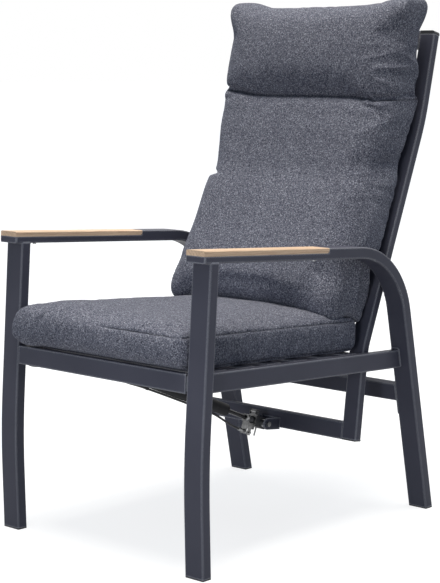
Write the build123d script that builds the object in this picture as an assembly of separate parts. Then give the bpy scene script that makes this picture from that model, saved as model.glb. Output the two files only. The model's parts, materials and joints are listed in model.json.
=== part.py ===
from build123d import *
import os
from math import cos, radians, sin, tan

# Reclining garden armchair. All lengths are in millimetres and all angles in degrees.
# While it is built, Y = 0 is the front face of the front feet, the chair faces -Y and Z = 0 is the floor.
# Left and right are the sitter's: left is +X, right is -X.

# Overall
chair_width = 608
arm_height = 660
arm_front_y = 7
arm_slope = 3.7
seat_slope = 2.85
seat_front_height = 412

# Bent side tube: armrest and rear leg in one
side_width = 50
side_depth = 25
side_wall = 2
side_corner = 3
side_bend_share = 0.73
rear_lean = 11.5
rear_foot_back_y = 778

# Front leg, gently bent
leg_knee_set_forward = 5
leg_knee_height = 221
leg_top_front_y = 24
leg_bend_radius = 1800

# Foot caps
foot_cap_height = 3
foot_plug_height = 14
plug_clearance = 0.2

# Wooden arm pads and the arm's front caps
pad_length = 384
pad_thickness = 11
pad_edge_radius = 2.5
pad_end_radius = 7
pad_end_gap = 0.5
tongue_clearance = 0.3
arm_cap_thickness = 3
arm_plug_length = 8
pad_screw_radius = 2
pad_screw_length = 9
pad_screw_head_radius = 4
pad_screw_head_height = 2.4
pad_screw_offset = 15
pad_screw_places = [62, 345]

# Seat rails, slats and rear stretcher
rail_height = 40
rail_depth = 20
rail_wall = 2
rail_corner = 2
rail_setback = 7
side_rail_inset = 26
spacer_length = 3
spacer_height = 30
spacer_depth = 14
plate_thickness = 3
plate_rise = 6
plate_overhang = 1
plate_corner = 5
slat_width = 40
slat_thickness = 12
slat_wall = 1.5
slat_corner = 2
seat_slat_count = 6
seat_slats_start = 95
seat_slats_end = 520
stretcher_height = 276
stretcher_plate_length = 72
stretcher_plate_thickness = 3
stretcher_bolt_radius = 3
stretcher_bolt_head_radius = 5.5
stretcher_bolt_head_height = 3.5
stretcher_bolt_length = 14
stretcher_bolt_drop = 30

# Back frame
stile_width = 40
stile_depth = 20
stile_wall = 2
stile_corner = 2.5
stile_side_gap = 3.5
lower_arm_lean = 7.3
back_lean = 22.07
head_lean = 13.5
kink_y = 590
kink_drop = 19.5
kink_radius = 110
head_bend_height = 892.5
head_bend_radius = 550
back_top_height = 1092
back_foot_height = 182
top_bar_height = 41
top_cap_height = 8
top_cap_radius = 7
back_slat_count = 5
back_slat_low = 470
back_slat_high = 965
arm_end_cap_height = 3

# Recline pivots
pivot_bolt_radius = 4
pivot_running_gap = 0.05
pivot_side_gap = 0.2
bush_wall = 2
bush_flange_radius = 11
pivot_head_radius = 7.5
pivot_head_height = 5
insert_radius = 6
insert_length = 14

# Rear bracket of the gas spring, on the bottom bar
clevis_reach = 43
clevis_height = 27
clevis_half_width = 28.5
clevis_plate = 3
clevis_drop = 10.5
pin_radius = 4
pin_head_radius = 6.5
pin_head_height = 5
pin_running_gap = 0.05
sleeve_radius = 9
sleeve_side_gap = 0.2

# Front bracket of the gas spring, on the front rail
front_pin_back = 34.5
front_pin_drop = 25
front_lug_half_width = 15.5
front_lug_radius = 10

# Gas spring, measured from the rear pin along its axis
spring_radius = 14
spring_wall = 1.5
rod_radius = 5
rod_start = 24
rod_end = 152
piston_length = 12
piston_gap = 0.1
cylinder_start = 123
guide_length = 16
guide_lip = 3
guide_lip_radius = 11
seal_gap = 0.05
eye_radius = 12
eye_bore_radius = 7
eye_half_width = 11
eye_neck_radius = 6
eye_neck_length = 20
end_wall = 6

# Release head, blade and cable stop; a drop is measured down from the spring's axis
head_back = 14
head_front = 22
head_half_width = 11
head_half_height = 13
head_edge = 2
head_neck_radius = 8
head_neck_end = 42
stud_radius = 2
stud_along = 4
stud_length = 20
hinge_drop = -21
hinge_along = 25
hinge_pin_radius = 2
hinge_gap = 0.05
knuckle_radius = 3.6
ear_inner = 8.3
ear_rear = 18
ear_front = 29.5
ear_top = -25.5
ear_bottom = -14
blade_thickness = 2.4
blade_half_width = 12
blade_neck_half_width = 7.8
blade_shoulder = -13
blade_hole_radius = 9.2
blade_bottom = 22
tab_half_width = 4.5
tab_bottom = 37
wire_drop = 30
wire_radius = 0.75
wire_hole_radius = 2.4
nipple_radius = 3.4
nipple_length = 4
nipple_bore = 2
stop_thickness = 3
stop_half_width = 8
stop_top = -8
stop_bottom = 36
nut_radius = 9.5
nut_length = 8
adjuster_radius = 3
adjuster_start = 40
adjuster_end = 54
ferrule_radius = 4
ferrule_end = 64

# Release cable
cable_radius = 2.5
cable_clearance = 0.3
cable_arc_share = 0.45
cable_join = 424
cable_join_drop = 22
cable_join_lead = 22
cable_offset = 11
tie_band = 1.2
tie_length = 4
tie_fit = 0.05
tie_places = [212, 385]
clip_width = 8
clip_heights = [480, 555]
clip_radius = 4.2
grommet_radius = 5
grommet_height = 4
grommet_offset = 6.5

# The cable's route: places along the spring with their drops, then points behind the front rail
loop_places = [74, 98, 127, 160, 195, cable_join - cable_join_lead]
loop_drops = [30, 27.6, 22, 17.8, 16.85, 16.85]
run_straight = 12
run_start = [(-8, 93.5, 346.5), (-30, 79, 356), (-66, 69, 364), (-112, 62, 370), (-162, 57, 371)]
run_side = [(-208, 54, 367), (-246, 53, 360), (-274, 51, 361), (-288, 48, 376), (-290, 43, 402)]
run_leg_heights = [440, 590]

# Release bar under the right arm
bar_front = 34
bar_rear = 300
bar_width = 14
bar_thickness = 5
bar_side_gap = 0.8
bar_floor_gap = 0.2
bar_pin_radius = 2
bar_eye_radius = 4.5
bar_ear_reach = 8
bar_ear_half_length = 5
bar_hole_radius = 2
bar_lift_room = 9
bar_nipple_height = 3
press_front = 128
press_rear = 292
press_drop = 3.6
press_side_gap = 0.8

# Seat cushion; its shares are of its length, half width, height and crown, from front to rear
cushion_gap = 0.6
seat_cushion_front = -14
seat_cushion_rear = 566
seat_cushion_side_gap = 4
seat_cushion_height = 77
seat_cushion_crown = 22
seat_side_bulge = 7
seat_length_shares = [0, 0.01, 0.03, 0.07, 0.26, 0.5, 0.72, 0.84, 0.93, 0.97, 0.99, 1]
seat_width_shares = [0.97, 0.985, 0.995, 1, 0.99, 0.985, 0.985, 0.99, 1, 0.995, 0.985, 0.965]
seat_low_shares = [0.14, 0.07, 0.02, 0, 0, 0, 0, 0, 0, 0.02, 0.06, 0.12]
seat_high_shares = [0.84, 0.93, 0.985, 1, 1, 1, 1, 1, 1, 0.985, 0.93, 0.84]
seat_crown_shares = [0.15, 0.25, 0.4, 0.55, 0.93, 1, 0.85, 0.5, 0.38, 0.3, 0.2, 0.12]

# Back cushion: three filled parts between sewn channels that draw it in.
# Shares are of its height, greatest depth, half width and set-off from the frame, from below upwards.
back_cushion_gap = 1.1
back_cushion_rise = 67
back_cushion_bottom = seat_front_height + back_cushion_rise
back_cushion_height = 667
back_cushion_depth = 161
back_cushion_side_gap = 4.5
back_cushion_set_off = 46
back_rear_inset = 28
back_front_inset = 24
back_front_crown = 10
lumbar_height_shares = [0, 0.012, 0.042, 0.125, 0.245, 0.357, 0.397, 0.412]
lumbar_depth_shares = [0.66, 0.85, 0.98, 0.99, 0.93, 0.89, 0.875, 0.84]
lumbar_width_shares = [0.955, 0.985, 1, 0.995, 0.995, 0.995, 0.985, 0.965]
lumbar_off_shares = [0.5, 0.2, 0.05, 0, 0, 0, 0, 0]
torso_height_shares = [0.412, 0.43, 0.484, 0.573, 0.655, 0.69, 0.703]
torso_depth_shares = [0.84, 0.855, 0.875, 0.93, 0.93, 0.88, 0.75]
torso_width_shares = [0.965, 0.98, 0.99, 0.99, 0.99, 0.98, 0.95]
torso_off_shares = [0, 0, 0, 0, 0, 0.06, 0.17]
head_height_shares = [0.703, 0.718, 0.76, 0.827, 0.901, 0.958, 0.988, 1]
head_depth_shares = [0.75, 0.83, 0.8, 0.77, 0.75, 0.74, 0.66, 0.46]
head_width_shares = [0.95, 0.985, 1.005, 1.01, 1.015, 1.02, 1.01, 0.97]
head_off_shares = [0.17, 0.24, 0.4, 0.64, 0.88, 1, 1.12, 1.3]

# Straps that hold the back cushion to its slats
strap_width = 26
strap_thickness = 2
strap_spacing = 240
strap_fit = 0.3

overrun = 40


def lean_direction(angle):
    """Unit vector that points up and leans back (+Y) by an angle from the vertical."""
    return Vector(0, sin(radians(angle)), cos(radians(angle)))


def meet(p, d, q, e):
    """Point where the line from p along d meets the line from q along e, in the YZ plane."""
    gap = q - p
    return p + d * ((gap.Y * e.Z - gap.Z * e.Y) / (d.Y * e.Z - d.Z * e.Y))


def bar_along(points, radii, width, depth, corner):
    """Solid bar with a rounded rectangular section, swept along a path in the YZ plane."""
    path = FilletPolyline(*points, radius=radii) if radii else Line(points[0], points[1])
    start = Plane(origin=path @ 0, x_dir=(1, 0, 0), z_dir=path % 0)
    return sweep(start * RectangleRounded(width, depth, corner), path=path)


def tube_along(points, radii, width, depth, corner, wall):
    """Outer envelope, bore and plug space of a hollow tube."""
    shapes = []
    for cut in (0, wall, wall + plug_clearance):
        rounding = max(corner - cut, corner / 4)
        shapes.append(bar_along(points, radii, width - 2 * cut, depth - 2 * cut, rounding))
    return shapes


def slab(z_low, z_high):
    """Very wide horizontal layer between two heights."""
    size = 4 * chair_width
    return Pos(0, 0, (z_low + z_high) / 2) * Box(size, size, z_high - z_low)


def cross_tube(centre, lean, half_length, width, depth, corner, wall):
    """Hollow tube along X; its tall side stands at a lean from the vertical."""
    place = Plane(origin=centre, x_dir=lean_direction(lean), z_dir=(1, 0, 0))
    outer = extrude(RectangleRounded(width, depth, corner), half_length, both=True)
    inner_corner = max(corner - wall, corner / 4)
    bore = extrude(RectangleRounded(width - 2 * wall, depth - 2 * wall, inner_corner), half_length, both=True)
    return place * (outer - bore)


def cross_pin(place, x_low, x_high, radius):
    """Round pin along X through a point of the YZ plane."""
    return Pos((x_low + x_high) / 2, place.Y, place.Z) * Rot(0, 90, 0) * Cylinder(radius, x_high - x_low)


def cross_hexagon(place, x_low, x_high, radius):
    """Hexagon along X, for a bolt head or a nut."""
    middle = Pos((x_low + x_high) / 2, place.Y, place.Z) * Rot(0, 90, 0)
    return middle * extrude(RegularPolygon(radius, 6), (x_high - x_low) / 2, both=True)


def other_side(piece):
    """Mirror image of a piece about the middle of the chair."""
    return mirror(piece, about=Plane.YZ)


def group(pieces):
    """Several separate solids as one node."""
    solids = []
    for piece in pieces:
        solids += piece.solids()
    return Compound(children=solids)


def pair(piece):
    """The piece and its mirror image as one node."""
    return group([piece, other_side(piece)])


half_width = chair_width / 2
side_x = half_width - side_width / 2
leg_inner_x = half_width - side_width
cable_side_x = side_x + cable_offset

# The side tube's middle line, and the arm's own frame: x runs back along its top, z points out of it
arm_back = Vector(0, cos(radians(arm_slope)), -sin(radians(arm_slope)))
arm_up = Vector(0, sin(radians(arm_slope)), cos(radians(arm_slope)))
arm_corner = Vector(0, arm_front_y, arm_height)
arm_plane = Plane(origin=arm_corner, x_dir=arm_back, z_dir=arm_up)
leg_up = lean_direction(-rear_lean)
leg_half_depth = side_depth / 2 / cos(radians(rear_lean))
rear_foot = Vector(0, rear_foot_back_y - leg_half_depth, 0)
arm_start = arm_corner - arm_up * (side_depth / 2)
arm_bend = meet(arm_start, arm_back, rear_foot, leg_up)
side_line = [arm_start, arm_bend, rear_foot - leg_up * overrun]
side_bend_radius = side_bend_share * (arm_height - seat_front_height)
side_outer, side_bore, side_plug = tube_along(
    side_line, side_bend_radius, side_width, side_depth, side_corner, side_wall
)


def arm_box(x_low, x_high, half, z_low, z_high, across=0):
    """Box in the arm's frame."""
    middle = Pos((x_low + x_high) / 2, across, (z_low + z_high) / 2)
    return arm_plane * (middle * Box(x_high - x_low, 2 * half, z_high - z_low))


def arm_drill(along, across, z_low, z_high, radius):
    """Round bar square to the arm's top."""
    return arm_plane * (Pos(along, across, (z_low + z_high) / 2) * Cylinder(radius, z_high - z_low))


def arm_cross(along, up, half, radius):
    """Round bar across the arm."""
    return arm_plane * (Pos(along, 0, up) * Rot(90, 0, 0) * Cylinder(radius, 2 * half))


# Front leg's middle line: the upper part leans back, the lower part a little forward
leg_half = side_depth / 2
leg_top_height = arm_height - side_depth - (leg_top_front_y - arm_front_y) * tan(radians(arm_slope))
leg_top = Vector(0, leg_top_front_y + leg_half, leg_top_height)
leg_knee = Vector(0, leg_half - leg_knee_set_forward, leg_knee_height)
leg_foot = Vector(0, leg_half, 0)
leg_rise = (leg_top - leg_knee).normalized()
leg_line = [leg_top + leg_rise * leg_half, leg_knee, leg_foot + (leg_foot - leg_knee).normalized() * overrun]
front_outer, front_bore, front_plug = tube_along(
    leg_line, leg_bend_radius, side_width, side_depth, side_corner, side_wall
)


def leg_rear_y(height):
    """Y of the front leg's rear face at a height above its bend."""
    return leg_knee.Y + (height - leg_knee.Z) * leg_rise.Y / leg_rise.Z + leg_half / leg_rise.Z


def foot_cap(outer, plug):
    """Plastic cap: a sole the size of the tube and a plug that fits inside it."""
    stem = plug & slab(foot_cap_height, foot_cap_height + foot_plug_height)
    return (outer & slab(0, foot_cap_height)) + stem


# Places in the arm's frame
arm_floor = side_wall - side_depth
pad_room = arm_box(-overrun, pad_length, side_width, -pad_thickness, overrun)
cap_room = arm_box(-overrun, arm_cap_thickness, side_width, -2 * side_depth, overrun)
wire_along = (leg_rear_y(leg_top_height) + grommet_offset - arm_front_y) / arm_back.Y
bar_bottom = arm_floor + bar_floor_gap
bar_top = bar_bottom + bar_thickness
bar_pin_up = bar_bottom + bar_eye_radius
groove_top = bar_top + bar_lift_room
press_half = bar_width / 2 - press_side_gap
above_feet = slab(foot_cap_height, 2 * arm_height)


def pad_screw_spots():
    """Places of the two screws of an arm pad: along the arm and across it."""
    return zip(pad_screw_places, (pad_screw_offset, -pad_screw_offset))


def side_tube(right):
    """Armrest and rear leg: hollow, open at the top where the wooden pad lies."""
    tube = (side_outer - side_bore) & above_feet
    tube = tube - pad_room - cap_room
    for along, across in pad_screw_spots():
        tube = tube - arm_drill(along, across, -2 * side_depth, -pad_thickness, pad_screw_radius)
    if right:
        low = -side_depth - side_wall
        tube = tube - arm_box(press_front, press_rear, press_half + press_side_gap, low, bar_bottom)
        tube = tube - arm_drill(wire_along, cable_offset, low, bar_bottom, grommet_radius)
    tube = Pos(side_x, 0, 0) * tube
    hole = cross_pin(stretcher_bolt_place, leg_inner_x - side_wall, side_x, stretcher_bolt_radius)
    return tube - hole


def arm_pad(right):
    """Wooden pad with rounded edges and a tongue that lies in the arm's channel."""
    board = arm_box(0, pad_length, side_width / 2, -pad_thickness, 0)
    cross_edges = board.edges().filter_by(Axis.X)
    board = fillet(cross_edges.sort_by(Axis.Y)[-2:].sort_by(Axis.Z)[0], pad_end_radius)
    long_edges = board.edges().filter_by(lambda e: e.length > pad_length / 2)
    board = fillet(long_edges.sort_by(Axis.Z)[-2:], pad_edge_radius)
    front_end = arm_cap_thickness + arm_plug_length + pad_end_gap
    tongue = arm_box(
        front_end, pad_length - pad_end_radius, side_width / 2 - side_wall - tongue_clearance,
        arm_floor + tongue_clearance, -pad_thickness,
    )
    pad = board + tongue
    low = -side_depth
    if right:
        end = bar_rear + bar_eye_radius + bar_side_gap
        pad = pad - arm_box(front_end - pad_end_gap, end, bar_width / 2 + bar_side_gap, low, groove_top)
        pin_half = bar_pin_radius + tongue_clearance
        slot = arm_box(bar_rear - pin_half, bar_rear + pin_half, side_width / 2, low, bar_pin_up + pin_half)
        pad = pad - (slot & tongue)
        ear_half = bar_ear_half_length + bar_side_gap
        ear_room = arm_box(
            wire_along - ear_half, wire_along + ear_half, bar_ear_reach,
            low, groove_top + bar_nipple_height, bar_width / 2 + bar_ear_reach / 2,
        )
        pad = pad - ear_room
    for along, across in pad_screw_spots():
        pad = pad - arm_drill(along, across, low, arm_floor + pad_screw_length, pad_screw_radius)
    return Pos(side_x, 0, 0) * pad


def pad_screw(along, across):
    """Screw from below, through the arm's floor into the wood."""
    low = -side_depth
    shank = arm_drill(along, across, low, arm_floor + pad_screw_length, pad_screw_radius)
    head = arm_drill(along, across, low - pad_screw_head_height, low, pad_screw_head_radius)
    return Pos(side_x, 0, 0) * (shank + head)


def arm_cap():
    """Front cap of the arm below the wood, with a plug in the channel."""
    front = (side_outer & cap_room) - pad_room
    inside = side_width / 2 - side_wall - tongue_clearance
    plug = arm_box(
        arm_cap_thickness, arm_cap_thickness + arm_plug_length, inside,
        arm_floor + plug_clearance, -pad_thickness - plug_clearance,
    )
    return Pos(side_x, 0, 0) * (front + plug)


# The seat's own frame: x runs back along the rails' top, z points out of it
seat_back = Vector(0, cos(radians(seat_slope)), -sin(radians(seat_slope)))
seat_up = Vector(0, sin(radians(seat_slope)), cos(radians(seat_slope)))
seat_origin = Vector(0, rail_setback, seat_front_height)
seat_plane = Plane(origin=seat_origin, x_dir=seat_back, z_dir=seat_up)
side_rail_x = half_width - side_rail_inset - rail_depth / 2
rail_inner_x = side_rail_x - rail_depth / 2


def seat_point(along, up):
    """Point of the YZ plane at a place in the seat's frame."""
    return seat_origin + seat_back * along + seat_up * up


# Rear leg's front face, with the end plate of the side rail on it
leg_front = rear_foot - Vector(0, leg_half_depth, 0)
leg_normal = Vector(0, -leg_up.Z, leg_up.Y)
rail_end = meet(seat_point(0, -rail_height / 2), seat_back, leg_front, leg_up)
rail_start = seat_point(side_depth / 2, -rail_height / 2)
rail_outer, rail_bore = tube_along(
    [rail_start, rail_end + seat_back * overrun], 0, rail_depth, rail_height, rail_corner, rail_wall
)[:2]
plate_plane = Plane(
    origin=rail_end + leg_up * (plate_rise / 2) + leg_normal * plate_thickness,
    x_dir=(1, 0, 0), z_dir=leg_normal * -1,
)

# Back frame: middle line of a stile, from its top past the pivot to its lower end
stile_outer_x = leg_inner_x - stile_side_gap
stile_x = stile_outer_x - stile_width / 2
stile_inner_x = stile_outer_x - stile_width
kink = Vector(0, kink_y, seat_front_height - kink_drop)
lower_dir = lean_direction(lower_arm_lean)
back_dir = lean_direction(back_lean)
head_dir = lean_direction(head_lean)
head_bend = kink + back_dir * ((head_bend_height - kink.Z) / back_dir.Z)
stile_top = head_bend + head_dir * ((back_top_height - head_bend_height) / head_dir.Z - top_cap_height)
stile_foot = kink - lower_dir * ((kink.Z - back_foot_height) / lower_dir.Z)
pivot = meet(kink, lower_dir, seat_point(0, -rail_height / 2), seat_back)
stile_outer, stile_bore = tube_along(
    [stile_top, head_bend, kink, stile_foot + lower_dir * arm_end_cap_height],
    [head_bend_radius, kink_radius], stile_width, stile_depth, stile_corner, stile_wall,
)[:2]
bush_radius = pivot_bolt_radius + bush_wall


def back_place(height):
    """Middle point and lean of the back frame at a height above the kink."""
    if height < head_bend_height:
        return kink + back_dir * ((height - kink.Z) / back_dir.Z), back_lean
    return head_bend + head_dir * ((height - head_bend_height) / head_dir.Z), head_lean


def stile_cap(origin, direction, height, radius):
    """End cap of a stile with its outer edge rounded and a plug inside the tube."""
    inset = 2 * (stile_wall + plug_clearance)
    cap = Pos(0, 0, height / 2) * Box(stile_width, stile_depth, height)
    outer_edge = cap.edges().filter_by(Axis.Y).sort_by(Axis.Z)[-2:].sort_by(Axis.X)[-1]
    cap = fillet(outer_edge, radius)
    plug = Box(stile_width - inset, stile_depth - inset, foot_plug_height)
    plane = Plane(origin=origin + Vector(stile_x, 0, 0), x_dir=(1, 0, 0), z_dir=direction)
    return plane * (cap + Pos(0, 0, -foot_plug_height / 2) * plug)


back_slat_places = []
for index in range(back_slat_count):
    step = (back_slat_high - back_slat_low) / (back_slat_count - 1)
    back_slat_places.append(back_place(back_slat_low + index * step))
seat_slat_places = []
for index in range(seat_slat_count):
    step = (seat_slats_end - seat_slats_start) / (seat_slat_count - 1)
    seat_slat_places.append(seat_point(seat_slats_start + index * step, -slat_thickness / 2))


def frame_bar(centre, lean, half_length, height):
    """Tube of the rails' section across the chair."""
    return cross_tube(centre, lean, half_length, height, rail_depth, rail_corner, rail_wall)


# Rear stretcher, standing with the rear legs, on end plates
stretcher_middle = rear_foot + leg_up * (stretcher_height / leg_up.Z)
stretcher_half = leg_inner_x - stretcher_plate_thickness
stretcher_bolt_place = stretcher_middle - leg_up * stretcher_bolt_drop


def stretcher_plate():
    """End plate of the stretcher, reaching down below it, with its bolt hole."""
    middle = stretcher_middle - leg_up * ((stretcher_plate_length - rail_height) / 2)
    plane = Plane(origin=middle + Vector(stretcher_half, 0, 0), x_dir=leg_up, z_dir=(1, 0, 0))
    shape = RectangleRounded(stretcher_plate_length, rail_depth, rail_corner)
    plate = plane * extrude(shape, stretcher_plate_thickness)
    return plate - cross_pin(stretcher_bolt_place, stile_inner_x, half_width, stretcher_bolt_radius)


def stretcher_bolt():
    """Bolt through the end plate into the leg's inner wall, its head inside."""
    tip = stretcher_half + stretcher_bolt_length
    shank = cross_pin(stretcher_bolt_place, stretcher_half, tip, stretcher_bolt_radius)
    head_start = stretcher_half - stretcher_bolt_head_height
    return shank + cross_hexagon(
        stretcher_bolt_place, head_start, stretcher_half, stretcher_bolt_head_radius
    )


def pivot_bolt():
    """Shoulder bolt of the back's hinge, from the stile's inner side into the side rail."""
    head_x = stile_inner_x - pivot_side_gap
    shank = cross_pin(pivot, head_x, rail_inner_x + insert_length, pivot_bolt_radius)
    return shank + cross_hexagon(pivot, head_x - pivot_head_height, head_x, pivot_head_radius)


def pivot_bush():
    """Flanged bush in the stile; its flange keeps the stile off the rail."""
    sleeve = cross_pin(pivot, stile_inner_x, stile_outer_x, bush_radius)
    flange = cross_pin(pivot, stile_outer_x, rail_inner_x - pivot_side_gap, bush_flange_radius)
    return sleeve + flange - cross_pin(pivot, 0, half_width, pivot_bolt_radius + pivot_running_gap)


def pivot_insert():
    """Threaded insert in the side rail's inner wall."""
    body = cross_pin(pivot, rail_inner_x, rail_inner_x + insert_length, insert_radius)
    return body - cross_pin(pivot, 0, half_width, pivot_bolt_radius)


# Gas spring: rear pin on the bottom bar, front pin behind the front rail
bottom_bar_middle = stile_foot + lower_dir * (rail_height / 2)
bar_forward = Vector(0, -lower_dir.Z, lower_dir.Y)
clevis_middle = bottom_bar_middle + bar_forward * (rail_depth / 2) - lower_dir * clevis_drop
rear_pin = clevis_middle + bar_forward * clevis_reach
front_pin = seat_point(rail_depth + front_pin_back, -front_pin_drop)
spring_direction = (front_pin - rear_pin).normalized()
spring_length = (front_pin - rear_pin).length
spring_plane = Plane(origin=rear_pin, x_dir=spring_direction, z_dir=(1, 0, 0))
cylinder_end = spring_length - eye_radius - eye_neck_length


def spring_rod(start, end, radius, drop=0):
    """Round bar along the spring's axis, or below it by a drop."""
    return spring_plane * (Pos((start + end) / 2, drop, 0) * Rot(0, 90, 0) * Cylinder(radius, end - start))


def spring_box(start, end, high, low, half, edge=0):
    """Box in the spring's frame between two places and two drops; edge rounds its corners."""
    box = Box(end - start, low - high, 2 * half)
    if edge:
        box = fillet(box.edges().filter_by(Axis.X if end - start < low - high else Axis.Z), edge)
    return spring_plane * (Pos((start + end) / 2, (high + low) / 2, 0) * box)


def spring_cross(along, drop, half, radius):
    """Round bar across the spring, along X."""
    return spring_plane * (Pos(along, drop, 0) * Cylinder(radius, 2 * half))


def bracket(plane, reach, height, base_height, half):
    """U bracket: a base plate and two round-ended lugs with pin holes, its pin at the plane's origin."""
    base = Pos(clevis_plate / 2 - reach, 0, 0) * Box(clevis_plate, base_height, 2 * half)
    shape = Pos(-reach / 2, 0) * Rectangle(reach, height) + Circle(height / 2) - Circle(pin_radius)
    lug = extrude(shape, clevis_plate)
    return plane * (base + Pos(0, 0, half - clevis_plate) * lug + Pos(0, 0, -half) * lug)


def pin_bolt(place, half):
    """Bolt along X with a hexagon head on one side and a nut on the other."""
    bolt = cross_pin(place, -half - pin_head_height, half + pin_head_height, pin_radius)
    head = cross_hexagon(place, half, half + pin_head_height, pin_head_radius)
    return bolt + head + cross_hexagon(place, -half - pin_head_height, -half, pin_head_radius)


def sleeve():
    """Spacer between the release head and a lug of the bracket."""
    outer = clevis_half_width - clevis_plate
    ring = cross_pin(rear_pin, head_half_width + sleeve_side_gap, outer, sleeve_radius)
    return ring - cross_pin(rear_pin, 0, outer, pin_radius)


def gas_cylinder():
    """Pressure tube, closed at its front by an end wall."""
    bore = spring_rod(rod_start, cylinder_end - end_wall, spring_radius - spring_wall)
    return spring_rod(cylinder_start, cylinder_end, spring_radius) - bore


def cylinder_guide():
    """Guide and seal in the tube's open end, with a lip outside it."""
    body = spring_rod(cylinder_start, cylinder_start + guide_length, spring_radius - spring_wall)
    lip = spring_rod(cylinder_start - guide_lip, cylinder_start, guide_lip_radius)
    return body + lip - spring_rod(rod_start, rod_end, rod_radius + seal_gap)


def cylinder_eye():
    """Front eye on a short neck; its bore leaves room round the front pin."""
    neck = spring_rod(cylinder_end, spring_length, eye_neck_radius)
    eye = spring_cross(spring_length, 0, eye_half_width, eye_radius)
    return neck + eye - spring_cross(spring_length, 0, 2 * eye_half_width, eye_bore_radius)


def release_head():
    """Head block on the rod's end, with the eye for the rear pin and ears for the blade."""
    block = spring_box(
        -head_back, head_front, -head_half_height, head_half_height, head_half_width, head_edge
    )
    neck = spring_rod(head_front - head_edge, head_neck_end, head_neck_radius)
    ears = spring_box(ear_rear, head_front, ear_top, head_edge - head_half_height, head_half_width)
    ears = ears + spring_box(head_front - head_edge, ear_front, ear_top, ear_bottom, head_half_width)
    slot_start = hinge_along - knuckle_radius - head_edge / 4
    slot = spring_box(slot_start, ear_front + head_edge, ear_top - head_edge, blade_shoulder, ear_inner)
    head = block + ears - slot + neck
    head = head - spring_cross(0, 0, 2 * head_half_width, pin_radius + pin_running_gap)
    head = head - spring_cross(hinge_along, hinge_drop, 2 * head_half_width, hinge_pin_radius)
    head = head - spring_rod(rod_start, rod_end, rod_radius)
    return head - stud(0)


def stud(extra=stud_length):
    """Small stud screwed into the head from below; no extra length leaves the part inside the head."""
    inside = head_half_height / 2
    length = head_half_height - inside + extra
    turned = Rot(90, 0, 0) * Cylinder(stud_radius, length)
    return spring_plane * (Pos(stud_along, inside + length / 2, 0) * turned)


def blade():
    """Release blade: a plate round the head's neck, hung from a knuckle at its top."""
    low = hinge_along - blade_thickness / 2
    high = hinge_along + blade_thickness / 2
    plate = spring_box(low, high, blade_shoulder, blade_bottom, blade_half_width, head_edge)
    plate = plate + spring_box(low, high, hinge_drop, blade_shoulder + head_edge, blade_neck_half_width)
    plate = plate + spring_box(low, high, blade_bottom - head_edge, tab_bottom, tab_half_width)
    plate = plate - spring_rod(low, high, blade_hole_radius)
    plate = plate - spring_rod(low, high, wire_hole_radius, wire_drop)
    knuckle = spring_cross(hinge_along, hinge_drop, blade_neck_half_width, knuckle_radius)
    hole = spring_cross(hinge_along, hinge_drop, head_half_width, hinge_pin_radius + hinge_gap)
    return plate + knuckle - hole


def wire_nipple():
    """End nipple behind the blade's tab."""
    end = hinge_along - blade_thickness / 2
    return spring_rod(end - nipple_length, end, nipple_radius, wire_drop) - spring_rod(
        end - nipple_length, end, nipple_bore, wire_drop
    )


def cable_stop():
    """Plate clamped between the head's neck and the lock nut; it holds the cable's adjuster."""
    end = head_neck_end + stop_thickness
    plate = spring_box(head_neck_end, end, stop_top, stop_bottom, stop_half_width, head_edge)
    plate = plate - spring_rod(rod_start, rod_end, rod_radius)
    return plate - spring_rod(rod_start, rod_end, adjuster_radius, wire_drop)


def lock_nut():
    """Hexagon nut on the rod's thread."""
    start = head_neck_end + stop_thickness
    nut = Pos(start, 0, 0) * Rot(0, 90, 0) * extrude(RegularPolygon(nut_radius, 6), nut_length)
    return spring_plane * nut - spring_rod(rod_start, rod_end, rod_radius)


def adjuster():
    """Threaded sleeve with a collar, and the ferrule that ends the cable's sheath."""
    stop_end = head_neck_end + stop_thickness
    body = spring_rod(adjuster_start, adjuster_end, adjuster_radius, wire_drop)
    body = body + spring_rod(stop_end, stop_end + stop_thickness, ferrule_radius, wire_drop)
    body = body + spring_rod(adjuster_end, ferrule_end, ferrule_radius, wire_drop)
    return body - spring_rod(rod_start, rod_end, wire_radius, wire_drop)


def cable(points):
    """Round cable along straight runs joined by tangent arcs; the arcs' radii are printed."""
    radii = []
    for before, corner, after in zip(points, points[1:], points[2:]):
        turn = (corner - before).get_angle(after - corner)
        shorter = min((corner - before).length, (after - corner).length)
        radii.append(cable_arc_share * shorter / tan(radians(turn) / 2))
    path = FilletPolyline(*points, radius=radii)
    print("cable", round(path.length, 1), "points", [tuple(round(c, 2) for c in p) for p in points])
    print("cable radii", [round(radius, 2) for radius in radii])
    return sweep(Plane(origin=path @ 0, z_dir=path % 0) * Circle(cable_radius), path=path)


# Cable under the gas spring, then behind the front rail, under the side rail and up the right leg
hug = spring_radius + cable_radius + cable_clearance
leg_gap = cable_radius + cable_clearance
loop_ends = [(ferrule_end, wire_drop), (cable_join, cable_join_drop)]
loop_corners = [loop_ends[0]] + list(zip(loop_places, loop_drops)) + [loop_ends[1]]
loop_points = [spring_plane.from_local_coords(Vector(along, drop, 0)) for along, drop in loop_corners]
grommet_low = -side_depth - grommet_height / 2
cable_top = arm_plane.from_local_coords(Vector(wire_along, 0, grommet_low))
loop_end_way = (loop_points[-1] - loop_points[-2]).normalized()
run_points = [loop_points[-1], loop_points[-1] + loop_end_way * run_straight]
run_points += [Vector(*point) for point in run_start + run_side]
run_points += [Vector(-cable_side_x, leg_rear_y(height) + leg_gap, height) for height in run_leg_heights]
run_points.append(cable_top - Vector(cable_side_x, 0, 0))


def cable_tie(along):
    """Band round the cylinder and the cable under it."""
    start = along - tie_length / 2
    end = along + tie_length / 2
    band = spring_rod(start, end, spring_radius + tie_band)
    band = band + spring_rod(start, end, cable_radius + tie_band, hug)
    band = band - spring_rod(start, end, spring_radius + tie_fit)
    return band - spring_rod(start, end, cable_radius + tie_fit, hug)


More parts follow.
